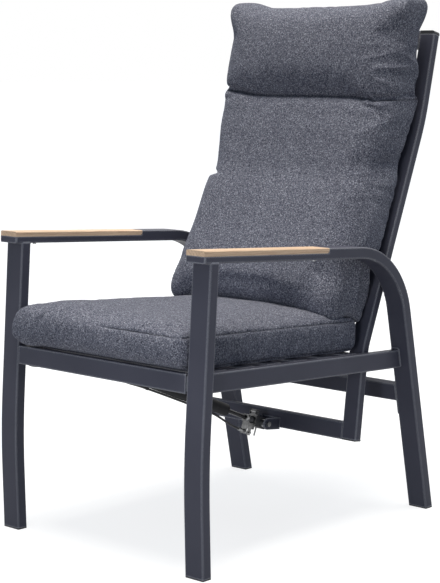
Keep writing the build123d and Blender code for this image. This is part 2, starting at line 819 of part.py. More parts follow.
def leg_clip(height):
    """Clip that holds the cable to the rear face of the right front leg."""
    face = Vector(-cable_side_x, leg_rear_y(height), height)
    middle = Pos(0, leg_gap * leg_rise.Z)
    ring = middle * Circle(clip_radius) - middle * Circle(cable_radius + tie_fit)
    ring = ring & (Pos(0, clip_radius) * Rectangle(4 * clip_radius, 2 * clip_radius))
    plane = Plane(origin=face, x_dir=(1, 0, 0), z_dir=leg_rise)
    return plane * extrude(ring, clip_width / 2, both=True)


def grommet():
    """Rubber ring in the right arm's floor where the release wire goes in."""
    high = grommet_low + grommet_height
    ring = arm_drill(wire_along, cable_offset, grommet_low, high, grommet_radius)
    ring = ring - arm_drill(wire_along, cable_offset, grommet_low, high, wire_radius)
    return other_side(Pos(side_x, 0, 0) * ring)


def bar_wire():
    """End of the release wire, from the grommet up through the bar's ear."""
    high = groove_top + bar_nipple_height / 2
    return other_side(Pos(side_x, 0, 0) * arm_drill(wire_along, cable_offset, grommet_low, high, wire_radius))


def release_bar():
    """Bar with a press pad below, an ear for the wire with its nipple, and a hinge eye at the rear."""
    strip = arm_box(bar_front, bar_rear, bar_width / 2, bar_bottom, bar_top)
    press = arm_box(
        press_front + press_side_gap, press_rear - press_side_gap, press_half,
        bar_bottom - press_drop, bar_top - bar_thickness / 2,
    )
    ear_half_width = bar_ear_reach / 2
    ear = arm_box(
        wire_along - bar_ear_half_length, wire_along + bar_ear_half_length, ear_half_width,
        bar_bottom, bar_top, bar_width / 2 + ear_half_width,
    )
    nipple = arm_drill(wire_along, cable_offset, bar_top, bar_top + bar_nipple_height, nipple_radius)
    eye = arm_cross(bar_rear, bar_pin_up, bar_width / 2, bar_eye_radius)
    bar = strip + press + ear + nipple + eye
    bar = bar - arm_drill(wire_along, cable_offset, bar_bottom, groove_top, bar_hole_radius)
    bar = bar - arm_cross(bar_rear, bar_pin_up, side_width, bar_pin_radius + hinge_gap)
    return other_side(Pos(side_x, 0, 0) * bar)


def bar_pin():
    """Hinge pin of the release bar, between the channel's walls."""
    pin = arm_cross(bar_rear, bar_pin_up, side_width / 2 - side_wall, bar_pin_radius)
    return other_side(Pos(side_x, 0, 0) * pin)


def cushion_outline(rear_half, front_half, half, rear, front, crown):
    """Closed outline of a cushion's section: a line and three arcs; front is the crowned side."""
    middle = (rear + front) / 2
    return make_face([
        Line((-rear_half, rear), (rear_half, rear)),
        ThreePointArc((rear_half, rear), (half, middle), (front_half, front)),
        ThreePointArc((front_half, front), (0, front + crown), (-front_half, front)),
        ThreePointArc((-front_half, front), (-half, middle), (-rear_half, rear)),
    ])


def seat_section(length_share, width_share, low_share, high_share, crown_share):
    """One section of the seat cushion across the chair, in the seat's frame."""
    along = seat_cushion_front + length_share * (seat_cushion_rear - seat_cushion_front)
    plane = Plane(origin=seat_point(along, cushion_gap), x_dir=(1, 0, 0), z_dir=seat_back * -1)
    half = (leg_inner_x - seat_cushion_side_gap) * width_share
    return plane * cushion_outline(
        half - seat_side_bulge, half - seat_side_bulge, half, seat_cushion_height * low_share,
        seat_cushion_height * high_share, seat_cushion_crown * crown_share,
    )


def back_section(height_share, depth_share, width_share, off_share):
    """One level section of the back cushion, its rear on the frame's front plane or set off from it."""
    height = back_cushion_bottom + height_share * back_cushion_height
    middle, lean = back_place(height)
    face = middle.Y - stile_depth / 2 / cos(radians(lean)) - back_cushion_gap
    rear = face - off_share * back_cushion_set_off
    plane = Plane(origin=(0, rear, height), x_dir=(-1, 0, 0), z_dir=(0, 0, 1))
    half = (leg_inner_x - back_cushion_side_gap) * width_share
    depth = back_cushion_depth * depth_share
    return plane * cushion_outline(
        half - back_rear_inset, half - back_front_inset, half, 0, depth, back_front_crown
    )


def seat_cushion():
    """Front end, middle and rear end, each lofted through its own sections and joined into one solid."""
    sections = [seat_section(*row) for row in zip(
        seat_length_shares, seat_width_shares, seat_low_shares, seat_high_shares, seat_crown_shares
    )]
    last = len(sections) - 1
    breaks = [0, seat_low_shares.index(0), last - seat_low_shares[::-1].index(0), last]
    parts = [loft(sections[start:end + 1]) for start, end in zip(breaks, breaks[1:])]
    return parts[0] + parts[1] + parts[2]


def back_cushion():
    """Three filled parts, joined at the channels that are sewn across."""
    parts = []
    for shares in (
        (lumbar_height_shares, lumbar_depth_shares, lumbar_width_shares, lumbar_off_shares),
        (torso_height_shares, torso_depth_shares, torso_width_shares, torso_off_shares),
        (head_height_shares, head_depth_shares, head_width_shares, head_off_shares),
    ):
        parts.append(loft([back_section(*row) for row in zip(*shares)]))
    return parts[0] + parts[1] + parts[2]


def slat_strap(slat_index, side):
    """Strap loop round a back slat; its front fills the space up to the cushion."""
    middle, lean = back_slat_places[slat_index]
    plane = Plane(origin=middle, x_dir=lean_direction(lean), z_dir=(1, 0, 0))
    inner_depth = slat_thickness + 2 * strap_fit
    front = stile_depth / 2
    rear = inner_depth / 2 + strap_thickness
    height = slat_width + 2 * strap_fit
    loop = Pos(0, (front - rear) / -2) * Rectangle(height + 2 * strap_thickness, front + rear)
    loop = loop - Rectangle(height, inner_depth)
    return plane * (Pos(0, 0, side * strap_spacing / 2) * extrude(loop, strap_width / 2, both=True))


def all_nodes():
    """Every node of the chair by name."""
    left_leg = Pos(side_x, 0, 0) * ((front_outer - front_bore - side_outer) & above_feet)
    front_cap = Pos(side_x, 0, 0) * foot_cap(front_outer, front_plug)
    rear_cap = Pos(side_x, 0, 0) * foot_cap(side_outer, side_plug)
    behind = plate_plane * (Pos(0, 0, 2 * overrun) * Box(side_width * 2, 4 * rail_height, 4 * overrun))
    left_rail = Pos(side_rail_x, 0, 0) * (rail_outer - rail_bore - behind) - Pos(side_x, 0, 0) * front_outer
    left_rail = left_rail - cross_pin(pivot, rail_inner_x, rail_inner_x + insert_length, insert_radius)
    plate_shape = RectangleRounded(rail_depth + 2 * plate_overhang, rail_height + plate_rise, plate_corner)
    end_plate = Pos(side_rail_x, 0, 0) * (plate_plane * extrude(plate_shape, plate_thickness))
    spacer = seat_plane * (
        Pos(rail_depth / 2, 0, -rail_height / 2) * Box(spacer_depth, spacer_length, spacer_height)
    )
    spacer = Pos(leg_inner_x - spacer_length / 2, 0, 0) * spacer
    stile = Pos(stile_x, 0, 0) * (stile_outer - stile_bore)
    stile = stile - cross_pin(pivot, stile_inner_x, stile_outer_x, bush_radius)
    front_rail_place = seat_point(rail_depth / 2, -rail_height / 2)
    top_bar_place = stile_top + head_dir * (top_cap_height - top_bar_height / 2)
    screws = []
    for along, across in pad_screw_spots():
        screws.append(pair(pad_screw(along, across)))
    straps = []
    for slat_index in (1, back_slat_count - 2):
        straps.append(slat_strap(slat_index, 1))
        straps.append(slat_strap(slat_index, -1))
    front_plane = Plane(origin=front_pin, x_dir=seat_back, z_dir=(1, 0, 0))
    rear_plane = Plane(origin=rear_pin, x_dir=bar_forward, z_dir=(1, 0, 0))
    return {
        "side_tube_left": side_tube(False),
        "side_tube_right": other_side(side_tube(True)),
        "front_leg_left": left_leg,
        "front_leg_right": other_side(left_leg),
        "front_foot_caps": pair(front_cap),
        "rear_foot_caps": pair(rear_cap),
        "arm_pad_left": arm_pad(False),
        "arm_pad_right": other_side(arm_pad(True)),
        "arm_end_caps": pair(arm_cap()),
        "arm_pad_screws": group(screws),
        "front_rail": frame_bar(front_rail_place, seat_slope, leg_inner_x - spacer_length, rail_height),
        "front_rail_spacers": pair(spacer),
        "side_rail_left": left_rail,
        "side_rail_right": other_side(left_rail),
        "rail_end_plates": pair(end_plate),
        "rear_stretcher": frame_bar(stretcher_middle, -rear_lean, stretcher_half, rail_height),
        "stretcher_end_plates": pair(stretcher_plate()),
        "stretcher_bolts": pair(stretcher_bolt()),
        "seat_slats": group([
            cross_tube(place, seat_slope, rail_inner_x, slat_thickness, slat_width, slat_corner, slat_wall)
            for place in seat_slat_places
        ]),
        "spring_front_bracket": bracket(
            front_plane, front_pin_back, 2 * front_lug_radius, 2 * front_lug_radius, front_lug_half_width
        ),
        "spring_front_pin": pin_bolt(front_pin, front_lug_half_width),
        "pivot_bolts": pair(pivot_bolt()),
        "pivot_inserts": pair(pivot_insert()),
        "seat_cushion": seat_cushion(),
        "release_bar_pin": bar_pin(),
        "release_cable_run": cable(run_points),
        "release_bar_wire": bar_wire(),
        "cable_clips": group([leg_clip(height) for height in clip_heights]),
        "cable_grommet": grommet(),
        "back_stile_left": stile,
        "back_stile_right": other_side(stile),
        "back_top_bar": frame_bar(top_bar_place, head_lean, stile_inner_x, top_bar_height),
        "stile_top_caps": pair(stile_cap(stile_top, head_dir, top_cap_height, top_cap_radius)),
        "back_slats": group([
            cross_tube(place, lean, stile_inner_x, slat_width, slat_thickness, slat_corner, slat_wall)
            for place, lean in back_slat_places
        ]),
        "back_bottom_bar": frame_bar(bottom_bar_middle, lower_arm_lean, stile_inner_x, rail_height),
        "lower_arm_caps": pair(stile_cap(
            stile_foot + lower_dir * arm_end_cap_height, lower_dir * -1, arm_end_cap_height, stile_wall
        )),
        "pivot_bushes": pair(pivot_bush()),
        "spring_rear_bracket": bracket(
            rear_plane, clevis_reach, clevis_height, clevis_height, clevis_half_width
        ),
        "spring_rear_bolt": pin_bolt(rear_pin, clevis_half_width),
        "bracket_sleeves": pair(sleeve()),
        "back_cushion": back_cushion(),
        "cushion_straps": group(straps),
        "gas_rod": spring_rod(rod_start, rod_end, rod_radius),
        "gas_piston": spring_rod(rod_end, rod_end + piston_length, spring_radius - spring_wall - piston_gap),
        "gas_lock_nut": lock_nut(),
        "release_head": release_head(),
        "blade_pin": spring_cross(hinge_along, hinge_drop, head_half_width, hinge_pin_radius),
        "head_stud": stud(),
        "cable_stop": cable_stop(),
        "cable_adjuster": adjuster(),
        "release_wire": spring_rod(
            hinge_along - blade_thickness - nipple_length, ferrule_end, wire_radius, wire_drop
        ),
        "gas_cylinder_tube": gas_cylinder(),
        "gas_cylinder_guide": cylinder_guide(),
        "gas_cylinder_eye": cylinder_eye(),
        "release_cable_loop": cable(loop_points),
        "cable_ties": group([cable_tie(along) for along in tie_places]),
        "release_bar": release_bar(),
        "release_blade": blade(),
        "wire_nipple": wire_nipple(),
    }


nodes = all_nodes()
box = Compound(children=[solid for piece in nodes.values() for solid in piece.solids()]).bounding_box()
shift = Vector(-box.center().X, -box.center().Y, -box.min.Z)
os.makedirs("parts", exist_ok=True)
for name, piece in nodes.items():
    moved = Pos(shift.X, shift.Y, shift.Z) * piece
    solid_count = len(moved.solids())
    print(name, "solids", solid_count, "volume", round(moved.volume / 1000, 2))
    export_step(moved, os.path.join("parts", name + ".step"))
print("size", box.size, "shift", shift)
for label, place in {
    "pivot": pivot, "rear pin": rear_pin, "front pin": front_pin,
    "blade pin": spring_plane.from_local_coords(Vector(hinge_along, hinge_drop, 0)),
    "bar pin": arm_plane.from_local_coords(Vector(bar_rear, 0, bar_pin_up)),
    "seat corner": seat_origin, "cushion foot": back_place(back_cushion_bottom)[0],
}.items():
    print(label, place + shift)
print("spring direction", spring_direction, "length", spring_length)
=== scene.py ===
import json
import math

import bmesh
import bpy
import numpy as np
from mathutils import Matrix, Vector


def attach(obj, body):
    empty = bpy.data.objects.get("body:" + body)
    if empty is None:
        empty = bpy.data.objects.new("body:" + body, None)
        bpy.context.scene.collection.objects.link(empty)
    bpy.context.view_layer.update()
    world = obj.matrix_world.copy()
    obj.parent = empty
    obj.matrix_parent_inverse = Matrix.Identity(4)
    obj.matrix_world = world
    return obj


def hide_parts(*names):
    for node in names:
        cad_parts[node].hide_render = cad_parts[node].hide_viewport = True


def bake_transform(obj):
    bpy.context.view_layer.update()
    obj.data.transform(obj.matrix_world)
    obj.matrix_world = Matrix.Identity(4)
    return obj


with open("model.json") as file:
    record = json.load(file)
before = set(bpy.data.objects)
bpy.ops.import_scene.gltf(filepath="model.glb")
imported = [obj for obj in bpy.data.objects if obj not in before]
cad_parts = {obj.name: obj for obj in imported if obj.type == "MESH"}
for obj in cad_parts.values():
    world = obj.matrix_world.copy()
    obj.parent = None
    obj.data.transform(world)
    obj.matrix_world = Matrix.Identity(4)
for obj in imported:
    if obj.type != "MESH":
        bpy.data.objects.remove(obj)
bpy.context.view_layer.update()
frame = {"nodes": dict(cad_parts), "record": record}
scene = bpy.context.scene

# Camera, solved from the photograph
camera_place = (2.5207, -2.78106, 1.0241)
camera_azimuth = 42.6216
camera_elevation = 7.7713
camera_lens = 137.99
camera_sensor = 36

# Light: a large soft lamp high above, a low one in front, a faint one behind, and a weak bluish surround
white = (1.0, 1.0, 1.0, 1.0)
sky_strength = 0.27
sky_color = (0.60, 0.77, 1.0, 1.0)
key_power = 360
key_size = 3.2
key_place = (0.35, -0.30, 6.0)
key_color = (1.0, 0.965, 0.89)
front_power = 195
front_radius = 0.5
front_place = (1.5, -3.9, 0.9)
front_aim = (0, 0, 0.33)
front_cone = 22.0
front_color = (0.90, 0.94, 1.0)
rim_power = 3
rim_size = 2.4
rim_place = (1.6, 2.6, 2.4)
rim_color = (0.95, 0.97, 1.0)
lamp_aim = (0, 0, 0.55)
floor_half = 60.0
floor_shade = 0.4
floor_roughness = 0.9
floor_glow_near = 0.80
floor_glow_far = 0.96
floor_glow_reach = 3.5

# Lean of the frame, read from the solids: the seat rails' slope and the stiles' two straight parts
seat_slope = math.radians(2.85)
rail_top_front = Vector((0, -0.414963, 0.412))
back_lean = math.radians(22.07)
head_lean = math.radians(13.5)
kink_place = (0.168037, 0.3925)
head_bend_height = 0.8925
stile_half_depth = 0.01

# Cloth of the cushions
voxel = 0.0055
weave_pitch = 0.0016
yarn_wander = 0.0016

# Release cable: part.py's route, for its loop below the gas spring and its run to the right arm
cable_diameter = 0.005
loop_route = [
    (0, 0.019107, 0.19482), (0, 0.009857, 0.19863), (0, -0.011413, 0.21), (0, -0.036093, 0.22623),
    (0, -0.064993, 0.24269), (0, -0.096993, 0.25691), (0, -0.288363, 0.3362), (0, -0.310663, 0.3432),
]
run_route = [
    (0, -0.310663, 0.3432), (0, -0.322463, 0.3472), (-0.009, -0.330963, 0.3515),
    (-0.03, -0.342963, 0.363), (-0.066, -0.352963, 0.371), (-0.112, -0.359963, 0.375),
    (-0.162, -0.364963, 0.373), (-0.208, -0.367963, 0.367), (-0.246, -0.368963, 0.36),
    (-0.274, -0.370963, 0.361), (-0.288, -0.373963, 0.376), (-0.29, -0.378963, 0.402),
    (-0.29, -0.383753, 0.44), (-0.29, -0.373213, 0.59), (-0.29, -0.368173, 0.62992),
]
cable_curve_steps = 16
cable_sides = 20
cable_round_steps = 5


# Small helpers for shader nodes

def add(tree, kind, values=None, **settings):
    """A new shader node with its settings, and its sockets set or linked."""
    made = tree.nodes.new(kind)
    for name, value in settings.items():
        setattr(made, name, value)
    for name, value in (values or {}).items():
        if isinstance(value, bpy.types.NodeSocket):
            tree.links.new(value, made.inputs[name])
        else:
            made.inputs[name].default_value = value
    return made


def calc(tree, operation, first, second=0.0, clamp=False):
    """Result of one arithmetic step on values or sockets."""
    made = add(tree, "ShaderNodeMath", {0: first, 1: second}, operation=operation, use_clamp=clamp)
    return made.outputs[0]


def noise(tree, vector, scale=1.0, detail=2.0, roughness=0.5):
    """Noise value from 0 to 1; scale is per metre."""
    values = {"Vector": vector, "Scale": scale, "Detail": detail, "Roughness": roughness}
    return add(tree, "ShaderNodeTexNoise", values).outputs[0]


def stretched(tree, vector, scale):
    """The place, scaled by a different number along each axis."""
    return add(tree, "ShaderNodeVectorMath", {0: vector, 1: scale}, operation="MULTIPLY").outputs[0]


def ramp(tree, value, stops):
    """Colour from a value, by stops of place and colour."""
    made = add(tree, "ShaderNodeValToRGB", {0: value})
    band = made.color_ramp
    while len(band.elements) < len(stops):
        band.elements.new(0.5)
    for element, (place, color) in zip(band.elements, stops):
        element.position = place
        element.color = (*color, 1.0)
    return made.outputs[0]


def spread(tree, value, low, high):
    """A value from 0 to 1, spread over a range."""
    return add(tree, "ShaderNodeMapRange", {0: value, 3: low, 4: high}).outputs[0]


def mixed(tree, share, first, second, blend="MIX"):
    """Mix of two colours."""
    first, second = [(*color, 1.0) if isinstance(color, tuple) else color for color in (first, second)]
    made = add(tree, "ShaderNodeMix", {0: share, 6: first, 7: second}, data_type="RGBA", blend_type=blend)
    return made.outputs[2]


def bump(tree, height, distance, strength=1.0, normal=None):
    """Bump from a height value from 0 to 1, over a distance in metres."""
    values = {"Height": height, "Distance": distance, "Strength": strength}
    if normal is not None:
        values["Normal"] = normal
    return add(tree, "ShaderNodeBump", values).outputs[0]


def material(name, **values):
    """A new material with its shader's plain values; gives also its tree, shader and coordinates."""
    made = bpy.data.materials.new(name)
    made.use_nodes = True
    tree = made.node_tree
    shader = tree.nodes["Principled BSDF"]
    for key, value in values.items():
        shader.inputs[key.replace("_", " ")].default_value = value
    place = add(tree, "ShaderNodeTexCoord").outputs["Object"]
    return made, tree, shader, place


def edge_wear_and_highlight(tree, radius, gain=12.0):
    """Value that rises on convex edges, where a finish wears, and where the powder coat gets a painted
    highlight.
    """
    rounded = add(tree, "ShaderNodeBevel", {"Radius": radius}, samples=4).outputs[0]
    flat = add(tree, "ShaderNodeNewGeometry").outputs["Normal"]
    dot = add(tree, "ShaderNodeVectorMath", {0: rounded, 1: flat}, operation="DOT_PRODUCT").outputs["Value"]
    return calc(tree, "MULTIPLY", calc(tree, "SUBTRACT", 1.0, dot), gain, clamp=True)


def two_tones(tree, value, dark, light, low=0.3, high=0.7):
    """Dark colour below a low value and light colour above a high one."""
    return ramp(tree, value, [(low, dark), (high, light)])


def paint_over(tree, shader, color=None, roughness=None, normal=None):
    """Links what drives a shader's colour, roughness and normal."""
    for name, socket in (("Base Color", color), ("Roughness", roughness), ("Normal", normal)):
        if socket is not None:
            tree.links.new(socket, shader.inputs[name])


def powder_coat():
    # The light edge colour is slight wear and mostly a painted highlight along the tubes' rounded edges
    dark, light, rubbed_and_lit_tone = (0.063, 0.064, 0.087), (0.075, 0.076, 0.102), (0.46, 0.465, 0.50)
    made, tree, shader, place = material("anthracite_powder_coat", Specular_IOR_Level=0.14)
    broad = noise(tree, place, scale=7.0, detail=3.0)
    grain = noise(tree, place, scale=1900.0, roughness=0.6)
    fine = noise(tree, place, scale=420.0, detail=3.0)
    tone = two_tones(tree, broad, dark, light)
    # Painted highlight, with slight wear, on the rounded edges
    wear_and_lit_share = calc(tree, "MULTIPLY", edge_wear_and_highlight(tree, radius=0.0045), spread(tree, fine, low=0.35, high=0.95))
    relief = bump(tree, grain, distance=0.00012, strength=0.55)
    paint_over(
        tree, shader, color=mixed(tree, wear_and_lit_share, tone, rubbed_and_lit_tone),
        roughness=spread(tree, fine, low=0.36, high=0.56),
        normal=bump(tree, broad, distance=0.0006, strength=0.25, normal=relief),
    )
    return made


def light_teak():
    early, middle, late = (0.74, 0.52, 0.36), (0.90, 0.69, 0.50), (0.82, 0.60, 0.42)
    streak_dark, streak_light = (0.72, 0.66, 0.60), (1.08, 1.04, 1.0)
    broad_dark, broad_light = (0.86, 0.84, 0.82), (1.12, 1.1, 1.08)
    pore_dark, pore_clear = (0.66, 0.58, 0.50), (1.0, 1.0, 1.0)
    made, tree, shader, place = material("oiled_teak", Specular_IOR_Level=0.35)
    rings = add(tree, "ShaderNodeTexWave", {
        "Vector": stretched(tree, place, (62.0, 3.4, 62.0)), "Scale": 1.1, "Distortion": 5.5, "Detail": 4.0,
        "Detail Scale": 1.4,
    }, wave_type="BANDS", bands_direction="DIAGONAL").outputs[1]
    pores = noise(tree, stretched(tree, place, (2400.0, 62.0, 2400.0)), detail=3.0, roughness=0.65)
    streaks = noise(tree, stretched(tree, place, (260.0, 9.0, 260.0)), detail=4.0, roughness=0.6)
    broad = noise(tree, stretched(tree, place, (16.0, 5.0, 16.0)))
    base = ramp(tree, rings, [(0.0, early), (0.55, middle), (1.0, late)])
    for share, value, dark, light, low, high in (
        (0.55, streaks, streak_dark, streak_light, 0.32, 0.68),
        (0.6, broad, broad_dark, broad_light, 0.3, 0.7),
        (0.75, pores, pore_dark, pore_clear, 0.33, 0.42),
    ):
        base = mixed(tree, share, base, two_tones(tree, value, dark, light, low, high), "MULTIPLY")
    cut = bump(tree, pores, distance=0.00022, strength=0.5)
    paint_over(
        tree, shader, color=base, roughness=spread(tree, pores, low=0.62, high=0.42),
        normal=bump(tree, streaks, distance=0.0002, strength=0.4, normal=cut),
    )
    return made


def moulded_plastic():
    dark, light, scuffed = (0.016, 0.017, 0.020), (0.028, 0.029, 0.033), (0.10, 0.10, 0.11)
    made, tree, shader, place = material("black_moulded_plastic", Specular_IOR_Level=0.4)
    grain = noise(tree, place, scale=1300.0, roughness=0.6)
    broad = noise(tree, place, scale=30.0, detail=3.0)
    scuff = calc(tree, "MULTIPLY", edge_wear_and_highlight(tree, radius=0.0015), 0.5)
    paint_over(
        tree, shader, color=mixed(tree, scuff, two_tones(tree, broad, dark, light), scuffed),
        roughness=spread(tree, broad, low=0.5, high=0.68),
        normal=bump(tree, grain, distance=0.0001, strength=0.5),
    )
    return made


def bare_metal(name, dark, light, smooth, rough, lines):
    """Metal with fine turning or drawing lines and a slight dulling."""
    made, tree, shader, place = material(name, Metallic=1.0)
    drawn = noise(tree, stretched(tree, place, lines), detail=3.0, roughness=0.6)
    dull = noise(tree, place, scale=120.0, detail=4.0, roughness=0.6)
    paint_over(
        tree, shader, color=two_tones(tree, dull, dark, light), roughness=spread(tree, drawn, smooth, rough),
        normal=bump(tree, drawn, distance=0.00006, strength=0.35),
    )
    return made


def black_paint():
    dark, light, rubbed_and_lit_tone = (0.010, 0.010, 0.012), (0.020, 0.020, 0.023), (0.12, 0.12, 0.125)
    made, tree, shader, place = material("black_satin_paint", Specular_IOR_Level=0.12)
    broad = noise(tree, place, scale=60.0, detail=4.0)
    fine = noise(tree, place, scale=900.0)
    wear_and_lit_share = calc(tree, "MULTIPLY", edge_wear_and_highlight(tree, radius=0.001), spread(tree, fine, low=0.1, high=0.9))
    paint_over(
        tree, shader, color=mixed(tree, wear_and_lit_share, two_tones(tree, broad, dark, light), rubbed_and_lit_tone),
        roughness=spread(tree, broad, low=0.40, high=0.56),
        normal=bump(tree, broad, distance=0.0002, strength=0.3),
    )
    return made


def cast_metal():
    dark, light, rubbed_and_lit_tone = (0.035, 0.036, 0.040), (0.07, 0.071, 0.076), (0.11, 0.11, 0.115)
    made, tree, shader, place = material("painted_casting", Metallic=0.3)
    grain = noise(tree, place, scale=800.0, detail=3.0, roughness=0.65)
    broad = noise(tree, place, scale=90.0, detail=3.0)
    wear_and_lit_share = edge_wear_and_highlight(tree, radius=0.0012)
    paint_over(
        tree, shader, color=mixed(tree, wear_and_lit_share, two_tones(tree, broad, dark, light), rubbed_and_lit_tone),
        roughness=spread(tree, grain, low=0.38, high=0.62),
        normal=bump(tree, grain, distance=0.0002, strength=0.6),
    )
    return made


def rubber_sheath():
    clean, dusty = (0.012, 0.012, 0.013), (0.034, 0.034, 0.036)
    made, tree, shader, place = material("black_cable_sheath", Specular_IOR_Level=0.4)
    grain = noise(tree, place, scale=700.0, detail=3.0)
    dust = noise(tree, place, scale=45.0, detail=4.0, roughness=0.6)
    paint_over(
        tree, shader, color=two_tones(tree, dust, clean, dusty, low=0.35, high=0.75),
        roughness=spread(tree, dust, low=0.38, high=0.6),
        normal=bump(tree, grain, distance=0.00008, strength=0.4),
    )
    return made


def plain_weave(tree, across, up):
    """Height of a plain weave: two sets of ribs that pass over each other in turn."""
    turn = math.pi / weave_pitch
    waves = [calc(tree, "SINE", calc(tree, "MULTIPLY", way, turn)) for way in (across, up)]
    pick = calc(tree, "GREATER_THAN", calc(tree, "MULTIPLY", *waves), 0.0)
    ribs = [calc(tree, "ABSOLUTE", wave) for wave in waves]
    first_part = calc(tree, "MULTIPLY", ribs[0], pick)
    second_part = calc(tree, "MULTIPLY", ribs[1], calc(tree, "SUBTRACT", 1.0, pick))
    return calc(tree, "ADD", first_part, second_part)


def woven_height(tree, place):
    """Height of the weave on any side of a piece, where the side that a surface faces counts most."""
    uneven = add(tree, "ShaderNodeTexNoise", {"Vector": place, "Scale": 60.0, "Detail": 2.0}).outputs[1]
    offset = stretched(tree, uneven, (yarn_wander, yarn_wander, yarn_wander))
    loose = add(tree, "ShaderNodeVectorMath", {0: place, 1: offset}, operation="ADD").outputs[0]
    x, y, z = add(tree, "ShaderNodeSeparateXYZ", {0: loose}).outputs
    facing = add(tree, "ShaderNodeSeparateXYZ", {0: add(tree, "ShaderNodeTexCoord").outputs["Normal"]})
    weights = [calc(tree, "POWER", calc(tree, "ABSOLUTE", side), 4.0) for side in facing.outputs]
    total = calc(tree, "ADD", calc(tree, "ADD", weights[0], weights[1]), weights[2])
    faces = [plain_weave(tree, y, z), plain_weave(tree, x, z), plain_weave(tree, x, y)]
    height = 0.0
    for weight, weave in zip(weights, faces):
        height = calc(tree, "ADD", calc(tree, "MULTIPLY", weight, weave), height)
    return calc(tree, "DIVIDE", height, total)


def melange_cloth(name, dark, middle, light):
    """Woven cloth of mottled yarn: dark, middle and light flecks drawn out along the two yarn directions."""
    # The seam colour is dark stitching and painted shade: it darkens the seams' grooves and the back
    # cushion's notch
    sheen_tint, seam_stitching_and_shade_tone = (0.75, 0.80, 1.0, 1.0), (0.012, 0.013, 0.018)
    shade_dark, shade_light = (0.92, 0.92, 0.93), (1.07, 1.07, 1.06)
    made, tree, shader, place = material(
        name, Specular_IOR_Level=0.15, Sheen_Weight=0.12, Sheen_Roughness=0.5, Sheen_Tint=sheen_tint,
    )
    height = woven_height(tree, place)
    weft = noise(tree, stretched(tree, place, (250.0, 330.0, 640.0)), detail=1.0, roughness=0.6)
    warp = noise(tree, stretched(tree, place, (640.0, 420.0, 250.0)), detail=1.0, roughness=0.6)
    yarn_mix = noise(tree, place, scale=330.0, detail=1.0)
    flecks = mixed(tree, spread(tree, yarn_mix, low=-0.6, high=1.6), weft, warp)
    # Painted shade of the weave: its low places are a little darker and its raised yarn a little lighter
    relief = calc(tree, "MULTIPLY", calc(tree, "SUBTRACT", height, 0.6), 0.08)
    stops = [(0.37, dark), (0.48, middle), (0.54, middle), (0.66, light)]
    color = ramp(tree, calc(tree, "ADD", flecks, relief), stops)
    broad = noise(tree, place, scale=22.0, detail=3.0, roughness=0.6)
    shade = two_tones(tree, broad, shade_dark, shade_light)
    color = mixed(tree, 1.0, color, shade, "MULTIPLY")
    # Painted shade and dark stitching at the seams and the notch, where the seam attribute is set
    seam = add(tree, "ShaderNodeAttribute", attribute_name="seam").outputs["Fac"]
    yarn = bump(tree, height, distance=0.0006, strength=0.6)
    slub = bump(tree, flecks, distance=0.0011, strength=0.55, normal=yarn)
    soft = noise(tree, place, scale=55.0, detail=3.0, roughness=0.6)
    paint_over(
        tree, shader, color=mixed(tree, seam, color, seam_stitching_and_shade_tone),
        roughness=spread(tree, weft, low=0.78, high=0.98),
        normal=bump(tree, soft, distance=0.0018, strength=0.3, normal=slub),
    )
    return made


zinc_tones = ((0.19, 0.19, 0.19), (0.34, 0.345, 0.35))
zinc_lines = (900.0, 200.0, 200.0)
rod_tones = ((0.018, 0.018, 0.020), (0.034, 0.034, 0.036))
rod_lines = (300.0, 90.0, 900.0)
cloth_tones = ((0.030, 0.032, 0.048), (0.140, 0.142, 0.178), (0.45, 0.455, 0.505))
finishes = {
    "anthracite_paint": powder_coat(),
    "teak": light_teak(),
    "black_plastic": moulded_plastic(),
    "zinc_steel": bare_metal("zinc_plate", *zinc_tones, smooth=0.22, rough=0.42, lines=zinc_lines),
    "dark_steel": bare_metal("dark_rod", *rod_tones, smooth=0.14, rough=0.26, lines=rod_lines),
    "black_steel": black_paint(),
    "cast_head": cast_metal(),
    "black_sheath": rubber_sheath(),
    "cushion_fabric": melange_cloth("grey_blue_melange", *cloth_tones),
}


def coat(obj, slot):
    """Gives a piece the material of a slot."""
    obj.data.materials.clear()
    obj.data.materials.append(finishes[slot])


def finish(obj, slot):
    """Gives a new piece the material of a slot."""
    coat(obj, slot)


def dress_solids():
    """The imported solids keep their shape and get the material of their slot."""
    for part in frame["record"]["subparts"]:
        coat(frame["nodes"][part["node"]], part["material_slot"])


def new_mesh(name, vertices, faces, smooth=True):
    """Mesh object from points and faces."""
    data = bpy.data.meshes.new(name)
    data.from_pydata([tuple(v) for v in vertices], [], faces)
    data.update()
    obj = bpy.data.objects.new(name, data)
    scene.collection.objects.link(obj)
    if smooth:
        data.polygons.foreach_set("use_smooth", [True] * len(data.polygons))
    return obj


def route_curve(name, route, radius=0.0):
    """Smooth curve along a cable's route, round if it has a radius."""
    data = bpy.data.curves.new(name, "CURVE")
    data.dimensions = "3D"
    data.resolution_u = cable_curve_steps
    spline = data.splines.new("NURBS")
    spline.points.add(len(route) - 1)
    for point, place in zip(spline.points, route):
        point.co = (*place, 1.0)
    spline.order_u = 3
    spline.use_endpoint_u = True
    data.bevel_depth = radius
    data.bevel_resolution = cable_round_steps
    data.use_fill_caps = True
    obj = bpy.data.objects.new(name, data)
    scene.collection.objects.link(obj)
    return obj


def path_points(route):
    """Points along a route's smooth curve."""
    curve = route_curve("path", route)
    graph = bpy.context.evaluated_depsgraph_get()
    graph.update()
    made = bpy.data.meshes.new_from_object(curve.evaluated_get(graph))
    points = [vertex.co.copy() for vertex in made.vertices]
    bpy.data.meshes.remove(made)
    bpy.data.objects.remove(curve)
    return points


